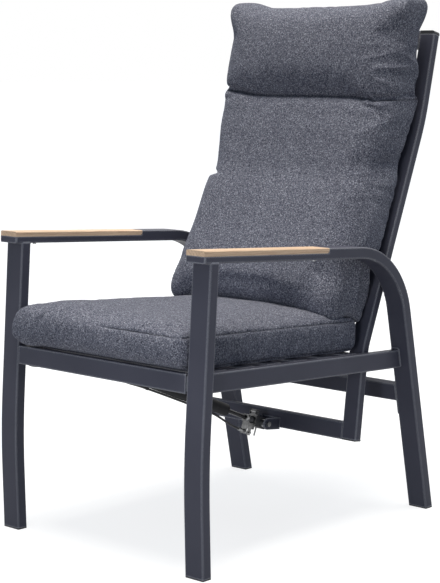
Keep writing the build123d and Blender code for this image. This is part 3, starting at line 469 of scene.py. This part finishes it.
def tube_along(name, path, radius, sides=cable_sides):
    """Closed round tube along points that lie in the plane X = 0."""
    vertices, faces = [], []
    across = Vector((1, 0, 0))
    for index, place in enumerate(path):
        way = (path[min(index + 1, len(path) - 1)] - path[max(index - 1, 0)]).normalized()
        up = across.cross(way)
        for side in range(sides):
            turn = 2 * math.pi * side / sides
            vertices.append(place + (across * math.cos(turn) + up * math.sin(turn)) * radius)
    for ring in range(len(path) - 1):
        for side in range(sides):
            there = (side + 1) % sides
            base = ring * sides
            faces.append((base + side, base + there, base + sides + there, base + sides + side))
    faces.append(tuple(range(sides - 1, -1, -1)))
    faces.append(tuple(range(len(vertices) - sides, len(vertices))))
    return new_mesh(name, vertices, faces)


def release_cable():
    """Loop below the gas spring, built as a fixed tube though on the chair it bends as the spring shortens,
    and the fixed run to the right arm.
    """
    path = path_points(loop_route)
    loop = tube_along("cable_loop_sheath", path, cable_diameter / 2)
    finish(loop, "black_sheath")
    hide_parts("release_cable_loop")
    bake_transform(loop)
    [tuple(point) for point in path]
    run = route_curve("cable_run_sheath", run_route, cable_diameter / 2)
    finish(run, "black_sheath")
    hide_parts("release_cable_run")
    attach(run, "frame")


# Shapes of the cushions: how sections round off, how the cloth waves and how seams are marked

most_rounded = 0.98
crown_power = 2.6
end_steps = 6
most_inset = 0.42
edge_loss = 0.4
least_edge = 0.004
least_pin = 0.02
wave_count = 9
wave_scales = (0.7, 1.4)
wave_turn = 6.28
seam_core = 1.15
seam_falloff = 1.5
clear_of_seam = 0.01


def smooth_step(value):
    """Rises smoothly from 0 to 1 as the value goes from 0 to 1."""
    value = np.clip(value, 0.0, 1.0)
    return value * value * (3 - 2 * value)


def rise(value, start, reach):
    """Rises smoothly from 0 at the start to 1 a reach further on."""
    return smooth_step((value - start) / reach)


def bell(value, width):
    """Smooth bump of height 1 round zero."""
    return np.exp(-((value / width) ** 2))


def rounded_loop(half, low, high, radius, crown, corner_steps=8, side_steps=22):
    """Loop round a cushion's section, with rounded corners and a crowned high side."""
    radius = min(radius, (high - low) / 2 * most_rounded, half * most_rounded)
    corners = (
        (half - radius, low + radius, -90), (half - radius, high - radius, 0),
        (-half + radius, high - radius, 90), (-half + radius, low + radius, 180),
    )
    arcs = []
    for x, d, start in corners:
        turns = [math.radians(start + 90 * step / corner_steps) for step in range(corner_steps + 1)]
        arcs.append([(x + radius * math.cos(turn), d + radius * math.sin(turn)) for turn in turns])
    full = []
    for arc, following in zip(arcs, arcs[1:] + arcs[:1]):
        full += arc
        here, there = arc[-1], following[0]
        for step in range(1, side_steps):
            share = step / side_steps
            full.append(tuple(a + (b - a) * share for a, b in zip(here, there)))
    shaped = []
    for x, d in full:
        share = (d - low) / (high - low)
        lift = crown * (1 - min(1.0, abs(x) / half) ** crown_power) * max(0.0, share * 2 - 1)
        shaped.append((x, d + lift))
    return shaped


def along_profile(shares, values, share):
    """Value of a profile at a share of the length, along a smooth curve through its points."""
    shares, values = np.array(shares), np.array(values)
    slopes = np.gradient(values, shares)
    index = int(np.clip(np.searchsorted(shares, share) - 1, 0, len(shares) - 2))
    width = shares[index + 1] - shares[index]
    t = (share - shares[index]) / width
    first, second = values[index], values[index + 1]
    a, b = slopes[index] * width, slopes[index + 1] * width
    return float(
        (2 * t**3 - 3 * t**2 + 1) * first + (t**3 - 2 * t**2 + t) * a
        + (3 * t**2 - 2 * t**3) * second + (t**3 - t**2) * b
    )


def cushion_shell(name, length, profile, ends, place, step=0.008):
    """Closed shell through rounded sections; profile gives half width, low, high, corner radius and crown.

    ends gives, for each end, the radius that draws the top in, and its shares for the sides and underside.
    """
    stations = []
    for index in range(end_steps + 1):
        stations.append(ends[0][0] * (1 - math.cos(math.pi / 2 * index / end_steps)))
    middle = length - ends[0][0] - ends[1][0]
    count = int(middle / step)
    for index in range(1, count):
        stations.append(ends[0][0] + middle * index / count)
    for index in range(end_steps, -1, -1):
        stations.append(length - ends[1][0] * (1 - math.cos(math.pi / 2 * index / end_steps)))
    vertices, faces = [], []
    for station in stations:
        half, low, high, radius, crown = profile(station / length)
        inset = side_inset = low_inset = 0.0
        for near, (end_radius, side_share, low_share) in ((station, ends[0]), (length - station, ends[1])):
            if near < end_radius:
                inset = end_radius - math.sqrt(end_radius**2 - (end_radius - near) ** 2)
                inset = min(inset, (high - low) * most_inset)
                side_inset = inset * side_share
                low_inset = inset * low_share
        edge = max(radius - inset * edge_loss, least_edge)
        loop = rounded_loop(half - side_inset, low + low_inset, high - inset, edge, crown)
        base = len(vertices)
        vertices += [place(x, d, station) for x, d in loop]
        if base:
            size = len(loop)
            for i in range(size):
                j = (i + 1) % size
                faces.append((base - size + i, base - size + j, base + j, base + i))
    size = len(loop)
    faces.append(tuple(range(size - 1, -1, -1)))
    faces.append(tuple(range(len(vertices) - size, len(vertices))))
    return new_mesh(name, vertices, faces)


def remeshed(obj, size):
    """Even quad mesh of a closed shell."""
    modifier = obj.modifiers.new("even", "REMESH")
    modifier.mode = "VOXEL"
    modifier.voxel_size = size
    modifier.adaptivity = 0.0
    apply_modifiers(obj)


def apply_modifiers(obj):
    """Replaces the mesh by what its modifiers make."""
    graph = bpy.context.evaluated_depsgraph_get()
    graph.update()
    made = bpy.data.meshes.new_from_object(obj.evaluated_get(graph), depsgraph=graph)
    old = obj.data
    obj.modifiers.clear()
    obj.data = made
    bpy.data.meshes.remove(old)
    made.name = obj.name
    made.polygons.foreach_set("use_smooth", [True] * len(made.polygons))


def vertex_rows(obj, name="co"):
    """The vertices' places, or another property of theirs, as rows of an array."""
    rows = np.zeros(len(obj.data.vertices) * 3)
    obj.data.vertices.foreach_get(name, rows)
    return rows.reshape(-1, 3)


def set_points(obj, co):
    """Moves the vertices to the rows of an array."""
    obj.data.vertices.foreach_set("co", co.ravel())
    obj.data.update()


def inflate(obj, pinned, pressure, cap, slack, frames=20):
    """Blows the cloth up a little between its pinned seams, with no point moving further than the cap."""
    start = vertex_rows(obj)
    group = obj.vertex_groups.new(name="seams")
    for index in np.nonzero(pinned > least_pin)[0]:
        group.add([int(index)], float(pinned[index]), "REPLACE")
    cloth = obj.modifiers.new("puff", "CLOTH")
    settings = cloth.settings
    settings.quality = 4
    settings.mass = 0.25
    settings.tension_stiffness = 14
    settings.compression_stiffness = 10
    settings.shear_stiffness = 5
    settings.bending_stiffness = 0.35
    settings.use_pressure = True
    settings.uniform_pressure_force = pressure
    settings.effector_weights.gravity = 0
    settings.vertex_group_mass = "seams"
    settings.shrink_min = -slack
    settings.shrink_max = -slack
    cloth.collision_settings.use_collision = False
    cloth.point_cache.frame_start = 1
    cloth.point_cache.frame_end = frames
    for frame_number in range(1, frames + 1):
        scene.frame_set(frame_number)
    apply_modifiers(obj)
    scene.frame_set(1)
    moved = vertex_rows(obj) - start
    length = np.linalg.norm(moved, axis=1, keepdims=True)
    limit = cap * np.tanh(length / cap)
    set_points(obj, start + moved * limit / np.maximum(length, np.finfo(float).tiny))


def subdivided(obj):
    """One level of subdivision, applied."""
    modifier = obj.modifiers.new("finer", "SUBSURF")
    modifier.levels = 1
    modifier.render_levels = 1
    apply_modifiers(obj)


def wave_noise(co, scale, seed):
    """Smooth noise from -1 to 1 at points, made of a few turned waves."""
    draw = np.random.RandomState(seed)
    total = np.zeros(len(co))
    for _ in range(wave_count):
        direction = draw.normal(size=3)
        direction /= np.linalg.norm(direction)
        total += np.sin(co @ direction * scale * draw.uniform(*wave_scales) + draw.uniform(0, wave_turn))
    return total / (wave_count / 2)


def mark_stitching_and_shade(obj, distance, width):
    """Darkens the cloth within a width of its seams, for the material: dark stitching, and painted shade in
    the seams' grooves.
    """
    values = np.clip(seam_core - distance / width, 0.0, 1.0) ** seam_falloff
    marks = obj.data.attributes.new("seam", "FLOAT", "POINT")
    marks.data.foreach_set("value", values)


# Seat cushion: boxed, with a seam between its crowned top panel and its side band

seat_gap = 0.0012
seat_front = -0.014
seat_rear = 0.564
seat_half = 0.2475
seat_height = 0.075
seat_crown = 0.015
seat_edge = 0.014
seat_ends = ((0.024, 0.75, 1.0), (0.026, 0.8, 1.0))
seat_shares = [0, 0.08, 0.3, 0.6, 0.85, 1]
seat_half_shares = [1.0, 1.004, 0.99, 0.985, 0.992, 0.985]
seat_crown_shares = [0.45, 0.7, 1, 1, 0.6, 0.4]
seat_seam_share = 0.35
seat_pin_reach = 0.006
seat_flat_height = 0.006
seat_swell = {"pressure": 5.0, "cap": 0.012, "slack": 0.035}
seat_groove_width = 0.0030
seat_groove_depth = 0.0032
seat_pucker = 0.0010
seat_pucker_reach = 0.016
seat_wave = 0.0013
seat_mark_width = 0.0018
seat_bulge = 0.026
seat_bulge_reach = 0.028
seat_bulge_side = 0.035
seat_bulge_rim = (0.004, 0.006)
seat_far_rise = 0.009
seat_far_loss = 0.9
seat_front_lift = 0.008


def seat_place(x, d, station):
    """Point of the seat cushion in the frame: across, above the rails and back from its front."""
    along = seat_front + station
    up = seat_gap + d
    y = rail_top_front.y + along * math.cos(seat_slope) + up * math.sin(seat_slope)
    z = rail_top_front.z - along * math.sin(seat_slope) + up * math.cos(seat_slope)
    return (x, y, z)


def seat_profile(share):
    half = seat_half * along_profile(seat_shares, seat_half_shares, share)
    crown = seat_crown * along_profile(seat_shares, seat_crown_shares, share)
    return half, 0.0, seat_height, seat_edge, crown


def seat_local(co):
    """Across, back from the seat's front and above the rails, for points in the frame."""
    y = co[:, 1] - rail_top_front.y
    z = co[:, 2] - rail_top_front.z
    along = y * math.cos(seat_slope) - z * math.sin(seat_slope)
    up = y * math.sin(seat_slope) + z * math.cos(seat_slope)
    return co[:, 0], along - seat_front, up - seat_gap


def seat_seam_distance(co, height):
    """Distance from the seam that runs round the cushion at a height, on its side band's edge."""
    across, along, up = seat_local(co)
    length = seat_rear - seat_front
    side = seat_half - np.abs(across)
    end = np.minimum(along, length - along)
    inside = np.minimum(side, end)
    return np.hypot(np.maximum(inside - seat_edge / 2, 0.0), up - height)


def seat_seams(co):
    """Distance from the nearer of the seat's two seams, on its side band's upper and lower edge."""
    below_edge = seat_edge * seat_seam_share
    return np.minimum(seat_seam_distance(co, seat_height - below_edge), seat_seam_distance(co, below_edge))


def seat_relief(co, near, up, kept):
    """How far the seat's cloth stands out or in: soft waves, and a groove and puckers at its seams."""
    groove = bell(near, seat_groove_width) * seat_groove_depth * kept
    pucker = np.exp(-near / seat_pucker_reach) * seat_pucker * wave_noise(co, scale=170.0, seed=3)
    soft = seat_wave * wave_noise(co, scale=40.0, seed=5) * rise(up, start=0, reach=0.05)
    return pucker + soft - groove


def seat_swells(moved, across, along, up):
    """Swells the seat's right front corner past the leg, and lifts its far side and front edge."""
    front = 1 - rise(along, start=0, reach=seat_bulge_reach)
    side = rise(-across, start=seat_half - seat_bulge_side, reach=0.03)
    rim, room = seat_bulge_rim
    band = np.sin(np.clip((up + rim) / (seat_height + room), 0, 1) * math.pi)
    moved[:, 0] -= seat_bulge * front * side * band
    far = rise(-across, start=0.02, reach=0.18) * (1 - seat_far_loss * rise(along, start=0, reach=0.35))
    moved[:, 2] += seat_far_rise * far * rise(up, start=0.03, reach=0.04)
    low_front = (1 - rise(along, start=0, reach=0.05)) * (1 - rise(up, start=0.01, reach=0.04))
    moved[:, 2] += seat_front_lift * low_front * (1 - rise(-across, start=0.17, reach=0.05))


def seat_cushion():
    length = seat_rear - seat_front
    shell = cushion_shell("seat_cushion_cover", length, seat_profile, seat_ends, seat_place)
    remeshed(shell, voxel)
    co = vertex_rows(shell)
    pinned = np.clip(1 - seat_seams(co) / seat_pin_reach, 0, 1)
    pinned = np.maximum(pinned, np.where(seat_local(co)[2] < seat_flat_height, 1.0, 0.0))
    inflate(shell, pinned, **seat_swell)
    subdivided(shell)
    co, normal = vertex_rows(shell), vertex_rows(shell, "normal")
    near = seat_seams(co)
    across, along, up = seat_local(co)
    # The seam fades out along the front, towards the sitter's right
    kept = np.maximum(rise(across, start=-0.03, reach=0.07), rise(along, start=0.05, reach=0.03))
    moved = co + normal * seat_relief(co, near, up, kept)[:, None]
    seat_swells(moved, across, along, up)
    set_points(shell, moved)
    # Dark stitching and painted shade along the seat's seams
    mark_stitching_and_shade(shell, near + clear_of_seam * (1 - kept), seat_mark_width)
    finish(shell, "cushion_fabric")
    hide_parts("seat_cushion")
    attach(shell, "frame")


# Back cushion: a long part and a head part, drawn together by a seam between them

back_bottom = 0.4815
body_top = 0.950
head_bottom = 0.9405
head_top = 1.149
seam_height = (body_top + head_bottom) / 2
back_gap = 0.0014
back_half = 0.2480
body_shares = [0, 0.09, 0.2, 0.38, 0.55, 0.62, 0.72, 0.86, 1]
body_depths = [0.160, 0.168, 0.167, 0.158, 0.151, 0.146, 0.147, 0.150, 0.147]
body_halves = [0.985, 1.0, 0.995, 0.99, 0.985, 0.985, 0.985, 0.99, 1.0]
body_crowns = [0.002, 0.008, 0.007, 0.002, 0.001, 0.001, 0.003, 0.005, 0.001]
body_ends = ((0.046, 0.12, 0.2), (0.020, 0.0, 0.4))
head_shares = [0, 0.2, 0.45, 0.7, 0.9, 1]
head_depths = [0.141, 0.138, 0.131, 0.122, 0.112, 0.104]
head_offs = [0.004, 0.012, 0.022, 0.032, 0.042, 0.048]
head_halves = [0.995, 1.0, 1.0, 1.005, 1.01, 1.01]
head_crowns = [0.003, 0.013, 0.017, 0.015, 0.008, 0.004]
head_ends = ((0.030, 0.0, 0.4), (0.026, 0.15, 1.0))
back_edge = 0.036
head_edge_loss = 0.5
back_pin_reach = 0.007
back_pin_depth = 0.004
back_free_end = 0.045
back_free_reach = 0.03
back_swell = {"pressure": 4.0, "cap": 0.008, "slack": 0.03}
crease_depth = 0.005
crease_width = 0.0038
crease_free_end = 0.035
back_wave = 0.0016
seam_pucker = 0.0010
seam_pucker_reach = 0.020
seam_fold = 0.0050
seam_fold_reach = 0.028
upper_fold = 0.0032
upper_fold_height = 1.01
tuft_fold = 0.0030
tuft_fold_height = 0.80
lower_fold = 0.0036
lower_fold_height = 0.545
bottom_pucker = 0.0020
bottom_pucker_reach = 0.03
notch_height = 0.762
notch_depth = 0.0115
notch_width = 0.0048
notch_step = 0.013
notch_step_start = 0.002
notch_shade_fade = 0.0045
notch_shade_offset = 0.0008
back_mark_width = 0.0024
back_mark_depth = 0.03
seam_rise_right = 0.012
seam_sink_left = 0.006
seam_rise_reach = 0.05
ear_rise = 0.017
ear_power = 1.5
ear_back = 0.010
ear_out = 0.003
left_pull_in = 0.012
left_pull_forward = 0.006
left_drop = 0.016
left_rear_drop = 0.018
corner_forward = 0.010
corner_drop = 0.008
side_limit = 0.2530
side_clear_below = 0.75
tuft_pinch = 0.009
tuft_height = 0.79
tuft_reach = 0.030


def frame_face(height):
    """Y of the stiles' front face at a height."""
    bend = min(height, head_bend_height)
    lean = back_lean if height < head_bend_height else head_lean
    middle = kink_place[0] + (bend - kink_place[1]) * math.tan(back_lean)
    middle += (height - bend) * math.tan(head_lean)
    return middle - stile_half_depth / math.cos(lean)


def place_above(bottom):
    """Gives the function that places a part of the back cushion, which starts at a height, in the frame."""
    def place(x, d, station):
        height = bottom + station
        return (x, frame_face(height) - back_gap - d, height)
    return place


def body_profile(share):
    half = back_half * along_profile(body_shares, body_halves, share)
    crown = along_profile(body_shares, body_crowns, share)
    return half, 0.0, along_profile(body_shares, body_depths, share), back_edge, crown


def head_profile(share):
    half = back_half * along_profile(head_shares, head_halves, share)
    off = along_profile(head_shares, head_offs, share)
    crown = along_profile(head_shares, head_crowns, share)
    edge = back_edge * (1 - head_edge_loss * rise(share, start=0.65, reach=0.3))
    return half, off, off + along_profile(head_shares, head_depths, share), edge, crown


def joined(pieces, name):
    """One object made of several meshes."""
    work = bmesh.new()
    for piece in pieces:
        work.from_mesh(piece.data)
    data = bpy.data.meshes.new(name)
    work.to_mesh(data)
    work.free()
    for piece in pieces:
        bpy.data.objects.remove(piece)
    obj = bpy.data.objects.new(name, data)
    scene.collection.objects.link(obj)
    return obj


def depth_of(co):
    """How far points lie in front of the stiles."""
    face = np.array([frame_face(z) for z in co[:, 2]])
    return face - back_gap - co[:, 1]


def ridges(co, scale, seed):
    """Sharp folds between soft hollows, from -1 to 1."""
    return 1 - 2 * np.sqrt(np.abs(np.clip(wave_noise(co, scale, seed), -1, 1)))


def back_folds(co, depth):
    """How far the back cushion's cloth stands out or in: waves, puckers, folds and the notch on its right."""
    x, z = co[:, 0], co[:, 2]
    left = rise(x, start=0.15, reach=0.08)
    right = rise(-x, start=0.175, reach=0.05)
    from_seam = np.abs(z - seam_height)
    folds = back_wave * wave_noise(co, scale=30.0, seed=11) * rise(depth, start=0, reach=0.05)
    puckers = wave_noise(co * (1.6, 1, 0.5), scale=150.0, seed=12)
    folds += seam_pucker * np.exp(-from_seam / seam_pucker_reach) * puckers
    gathered = ridges(co * (1.0, 1, 0.8), scale=105.0, seed=13)
    folds += seam_fold * left * np.exp(-from_seam / seam_fold_reach) * gathered
    upper = left * bell(z - upper_fold_height, width=0.05)
    folds += upper_fold * upper * ridges(co * (0.5, 0.5, 1.4), scale=72.0, seed=14)
    tuft = left * bell(z - tuft_fold_height, width=0.10)
    folds += tuft_fold * tuft * ridges(co * (0.6, 0.6, 1.0), scale=46.0, seed=17)
    low = rise(x, start=0.02, reach=0.14) * bell(z - lower_fold_height, width=0.055)
    folds += lower_fold * low * ridges(co * (1.5, 1.5, 0.35), scale=60.0, seed=15)
    bottom = np.exp(-np.abs(z - back_bottom) / bottom_pucker_reach)
    folds += bottom_pucker * bottom * wave_noise(co * (1.2, 1, 0.6), scale=105.0, seed=16)
    front = rise(depth, start=0.05, reach=0.06)
    folds -= notch_depth * right * front * bell(z - notch_height, notch_width)
    return folds


def back_crease(co, depth):
    """How far the seam between the two parts draws the cloth in, away from the cushion's ends."""
    crease = crease_depth * bell(co[:, 2] - seam_height, crease_width) * rise(depth, start=0.02, reach=0.04)
    return crease * (1 - rise(np.abs(co[:, 0]), start=back_half - crease_free_end, reach=0.03))


def back_upper_moves(moved, x, z, depth):
    """Moves points of the cushion's upper part."""
    # Above the notch in its right edge the cushion's front lies further back
    fades = 1 - rise(z, start=notch_height, reach=0.13)
    step_back = rise(z, start=notch_height - notch_step_start, reach=0.005) * fades
    step_back = step_back * rise(-x, start=0.17, reach=0.04) * rise(depth, start=0.04, reach=0.05)
    moved[:, 1] += notch_step * step_back
    # The seam below the head rises at the sitter's right and sinks at the left
    slant = seam_rise_right * rise(-x, start=0.11, reach=0.13)
    slant = slant - seam_sink_left * rise(x, start=0.14, reach=0.10)
    moved[:, 2] += slant * bell(z - seam_height, seam_rise_reach)
    # The head's two upper corners stand up like ears
    ears = rise(np.abs(x), start=0.12, reach=0.12) ** ear_power * rise(z, start=1.075, reach=0.07)
    moved[:, 2] += ear_rise * ears
    moved[:, 1] += ear_back * ears * (x > 0)
    moved[:, 0] += ear_out * ears * np.sign(x)


def back_lower_moves(moved, x, z, depth):
    """Moves points of the cushion's lower part."""
    # Below the arm the sitter's left edge pulls in and forward, and its corner hangs down to the seat
    left = rise(x, start=0.13, reach=0.09)
    pulled = left * (1 - rise(z, start=0.560, reach=0.065))
    moved[:, 0] -= left_pull_in * pulled
    moved[:, 1] -= left_pull_forward * pulled * (1 - rise(depth, start=0.03, reach=0.07))
    drop = left_drop + left_rear_drop * (1 - rise(depth, start=0.01, reach=0.05))
    moved[:, 2] -= drop * rise(x, start=0.06, reach=0.15) * (1 - rise(z, start=back_bottom, reach=0.09))
    # The right bottom corner is fuller
    corner = rise(-x, start=0.17, reach=0.06) * (1 - rise(z, start=back_bottom, reach=0.055))
    moved[:, 1] -= corner_forward * corner * rise(depth, start=0.04, reach=0.06)
    moved[:, 2] -= corner_drop * corner
    # Below the arms' height both sides keep clear of the side tubes
    beside = z < side_clear_below
    moved[:, 0] = np.where(beside, np.clip(moved[:, 0], -side_limit, side_limit), moved[:, 0])
    # At the tuft's height the sitter's left edge is pinched
    moved[:, 0] -= tuft_pinch * left * bell(z - tuft_height, tuft_reach)


def mark_back_stitching_and_shade(shell, x, z, depth):
    """Darkens the seam below the head with dark stitching and painted shade, and paints shade into the
    notch's crease, but not at the cushion's rear.
    """
    # Painted shade in the notch's crease, fading towards the middle
    from_notch = np.abs(z - notch_height) + notch_shade_fade * (1 - rise(-x, start=0.13, reach=0.08))
    near = np.minimum(np.abs(z - seam_height), from_notch + notch_shade_offset)
    mark_stitching_and_shade(shell, near + clear_of_seam * (depth < back_mark_depth), back_mark_width)


def back_cushion():
    place_body, place_head = place_above(back_bottom), place_above(head_bottom)
    body = cushion_shell("body_part", body_top - back_bottom, body_profile, body_ends, place_body)
    head = cushion_shell("head_part", head_top - head_bottom, head_profile, head_ends, place_head)
    shell = joined([body, head], "back_cushion_cover")
    remeshed(shell, voxel)
    co = vertex_rows(shell)
    pinned = np.clip(1 - np.abs(co[:, 2] - seam_height) / back_pin_reach, 0, 1)
    pinned *= 1 - smooth_step((np.abs(co[:, 0]) - back_half + back_free_end) / back_free_reach)
    pinned = np.maximum(pinned, np.where(depth_of(co) < back_pin_depth, 1.0, 0.0))
    inflate(shell, pinned, **back_swell)
    subdivided(shell)
    co, normal = vertex_rows(shell), vertex_rows(shell, "normal")
    depth = depth_of(co)
    moved = co + normal * (back_folds(co, depth) - back_crease(co, depth))[:, None]
    x, z = co[:, 0], co[:, 2]
    back_upper_moves(moved, x, z, depth)
    back_lower_moves(moved, x, z, depth)
    set_points(shell, moved)
    # Painted shade and dark stitching at the seam below the head and in the notch
    mark_back_stitching_and_shade(shell, x, z, depth)
    finish(shell, "cushion_fabric")
    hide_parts("back_cushion")
    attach(shell, "back")


# Webbing loops that hold the back cushion to two of its slats

strap_heights = [0.59375, 0.84125]
strap_across = 0.12
strap_half_width = 0.0127
strap_thickness = 0.0016
slat_half = (0.0203, 0.0063)
strap_stand_off = 0.6
strap_bend = 0.003
strap_bend_steps = 6
strap_rib_pitch = 0.0013
strap_straight_gap = 0.002
strap_corner_turn = 0.26
strap_rib = 0.00012
strap_edge_rise = 0.15
strap_width_steps = 6


def strap_outline():
    """Points at the corners of a band round a slat, up and back from its middle, and the way each faces."""
    half_up = slat_half[0] + strap_thickness * strap_stand_off - strap_bend
    half_back = slat_half[1] + strap_thickness * strap_stand_off - strap_bend
    outline = []
    for quarter, (side_up, side_back) in enumerate(((1, 1), (-1, 1), (-1, -1), (1, -1))):
        for step in range(strap_bend_steps + 1):
            turn = math.radians(90 * quarter + 90 * step / strap_bend_steps)
            up = side_up * half_up + strap_bend * math.cos(turn)
            back = side_back * half_back + strap_bend * math.sin(turn)
            outline.append((up, back, turn))
    return outline


def strap_path():
    """Closely spaced points of a band's path round a slat."""
    outline = strap_outline()
    path = []
    for here, there in zip(outline, outline[1:] + outline[:1]):
        gap = math.hypot(there[0] - here[0], there[1] - here[1])
        count = max(1, round(gap / strap_rib_pitch))
        for step in range(count):
            share = step / count
            turn = here[2] if gap > strap_straight_gap else here[2] + share * strap_corner_turn
            up, back = [a + (b - a) * share for a, b in zip(here[:2], there[:2])]
            path.append((up, back, turn))
    return path


def strap_section():
    """Section of a band: flat below, with slightly raised edges on its outer side."""
    upper = []
    for step in range(2 * strap_width_steps + 1):
        share = step / strap_width_steps - 1
        edge = strap_edge_rise * rise(abs(share), start=0.72, reach=0.2)
        upper.append((share * strap_half_width, strap_thickness * (0.5 + edge)))
    return upper + [(u, -strap_thickness / 2) for u, v in reversed(upper)]


def webbing_loop(centre):
    """Flat band with raised edges and fine cross ribs, wound once round a slat."""
    ring, path = strap_section(), strap_path()
    up = Vector((0, math.sin(back_lean), math.cos(back_lean)))
    back = Vector((0, math.cos(back_lean), -math.sin(back_lean)))
    vertices, faces = [], []
    for index, (a, b, turn) in enumerate(path):
        rib = strap_rib * (index % 2)
        for u, v in ring:
            out = v + (rib if v > 0 else 0.0)
            place = up * (a + out * math.cos(turn)) + back * (b + out * math.sin(turn))
            vertices.append(centre + Vector((u, 0, 0)) + place)
    size, turns = len(ring), len(path)
    for i in range(turns):
        for j in range(size):
            k = (i + 1) % turns
            m = (j + 1) % size
            faces.append((i * size + j, i * size + m, k * size + m, k * size + j))
    return new_mesh("strap", vertices, faces)


def cushion_straps():
    loops = []
    for height in strap_heights:
        middle = kink_place[0] + (height - kink_place[1]) * math.tan(back_lean)
        for side in (1, -1):
            loops.append(webbing_loop(Vector((side * strap_across, middle, height))))
    band = joined(loops, "strap_webbing")
    finish(band, "cushion_fabric")
    band.data.polygons.foreach_set("use_smooth", [True] * len(band.data.polygons))
    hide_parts("cushion_straps")
    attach(band, "back")


def make_camera():
    """Camera at the photograph's place."""
    data = bpy.data.cameras.new("camera")
    data.sensor_fit = "HORIZONTAL"
    data.sensor_width = camera_sensor
    data.lens = camera_lens
    obj = bpy.data.objects.new("camera", data)
    scene.collection.objects.link(obj)
    turn, tilt = math.radians(camera_azimuth), math.radians(camera_elevation)
    back = Vector((math.sin(turn) * math.cos(tilt), -math.cos(turn) * math.cos(tilt), math.sin(tilt)))
    right = Vector((math.cos(turn), math.sin(turn), 0))
    up = back.cross(right)
    rotation = Matrix((right, up, back)).transposed()
    obj.matrix_world = Matrix.Translation(camera_place) @ rotation.to_4x4()
    scene.camera = obj


def lamp(name, kind, place, aim, power, color):
    """Lamp at a place that looks at a point; gives its settings."""
    data = bpy.data.lights.new(name, kind)
    data.energy = power
    data.color = color
    obj = bpy.data.objects.new(name, data)
    obj.location = place
    obj.rotation_euler = (Vector(aim) - Vector(place)).to_track_quat("-Z", "Y").to_euler()
    scene.collection.objects.link(obj)
    return data


def make_lamps():
    """Two soft lamps, and a low one in front for the legs and the seat that fades out below the head."""
    for name, place, size, power, color in (
        ("key", key_place, key_size, key_power, key_color),
        ("rim", rim_place, rim_size, rim_power, rim_color),
    ):
        area = lamp(name, "AREA", place, lamp_aim, power, color)
        area.shape = "DISK"
        area.size = size
    front = lamp("front", "SPOT", front_place, front_aim, front_power, front_color)
    front.spot_size = math.radians(front_cone)
    front.spot_blend = 1.0
    front.shadow_soft_size = front_radius


def seen_rays(tree):
    """1 for rays from the camera, from gloss and through glass, which see the plain white surround."""
    rays = add(tree, "ShaderNodeLightPath").outputs
    clear = calc(tree, "MAXIMUM", rays["Is Camera Ray"], rays["Is Transmission Ray"])
    return calc(tree, "MAXIMUM", clear, rays["Is Glossy Ray"])


def make_surround():
    """Weak bluish light from all sides, and a white background for the camera, for gloss and for glass."""
    world = bpy.data.worlds.new("world")
    scene.world = world
    world.use_nodes = True
    tree = world.node_tree
    tree.nodes.clear()
    seen = seen_rays(tree)
    lit = add(tree, "ShaderNodeBackground", {0: sky_color, 1: sky_strength})
    plain = add(tree, "ShaderNodeBackground", {0: white, 1: 1.0})
    total = add(tree, "ShaderNodeMixShader", {0: seen, 1: lit.outputs[0], 2: plain.outputs[0]})
    out = add(tree, "ShaderNodeOutputWorld")
    tree.links.new(total.outputs[0], out.inputs[0])


def make_floor():
    """Plain pale floor that keeps the chair's shadow."""
    h = floor_half
    floor = new_mesh("floor", [(-h, -h, 0), (h, -h, 0), (h, h, 0), (-h, h, 0)], [(0, 1, 2, 3)], smooth=False)
    made = bpy.data.materials.new("pale_floor")
    made.use_nodes = True
    tree = made.node_tree
    shader = tree.nodes["Principled BSDF"]
    shader.inputs["Base Color"].default_value = (floor_shade, floor_shade, floor_shade, 1.0)
    shader.inputs["Roughness"].default_value = floor_roughness
    shader.inputs["Specular IOR Level"].default_value = 0.0
    seen = seen_rays(tree)
    place = add(tree, "ShaderNodeTexCoord").outputs["Object"]
    reach = add(tree, "ShaderNodeVectorMath", {0: place}, operation="LENGTH").outputs["Value"]
    share = calc(tree, "DIVIDE", reach, floor_glow_reach, clamp=True)
    level = spread(tree, share, floor_glow_near, floor_glow_far)
    glow = add(tree, "ShaderNodeEmission", {0: white, 1: calc(tree, "MULTIPLY", seen, level)})
    total = add(tree, "ShaderNodeAddShader", {0: shader.outputs[0], 1: glow.outputs[0]})
    tree.links.new(total.outputs[0], tree.nodes["Material Output"].inputs[0])
    floor.data.materials.append(made)


make_camera()
dress_solids()
release_cable()
seat_cushion()
back_cushion()
cushion_straps()
make_lamps()
make_surround()
make_floor()
scene.view_settings.view_transform = "Standard"
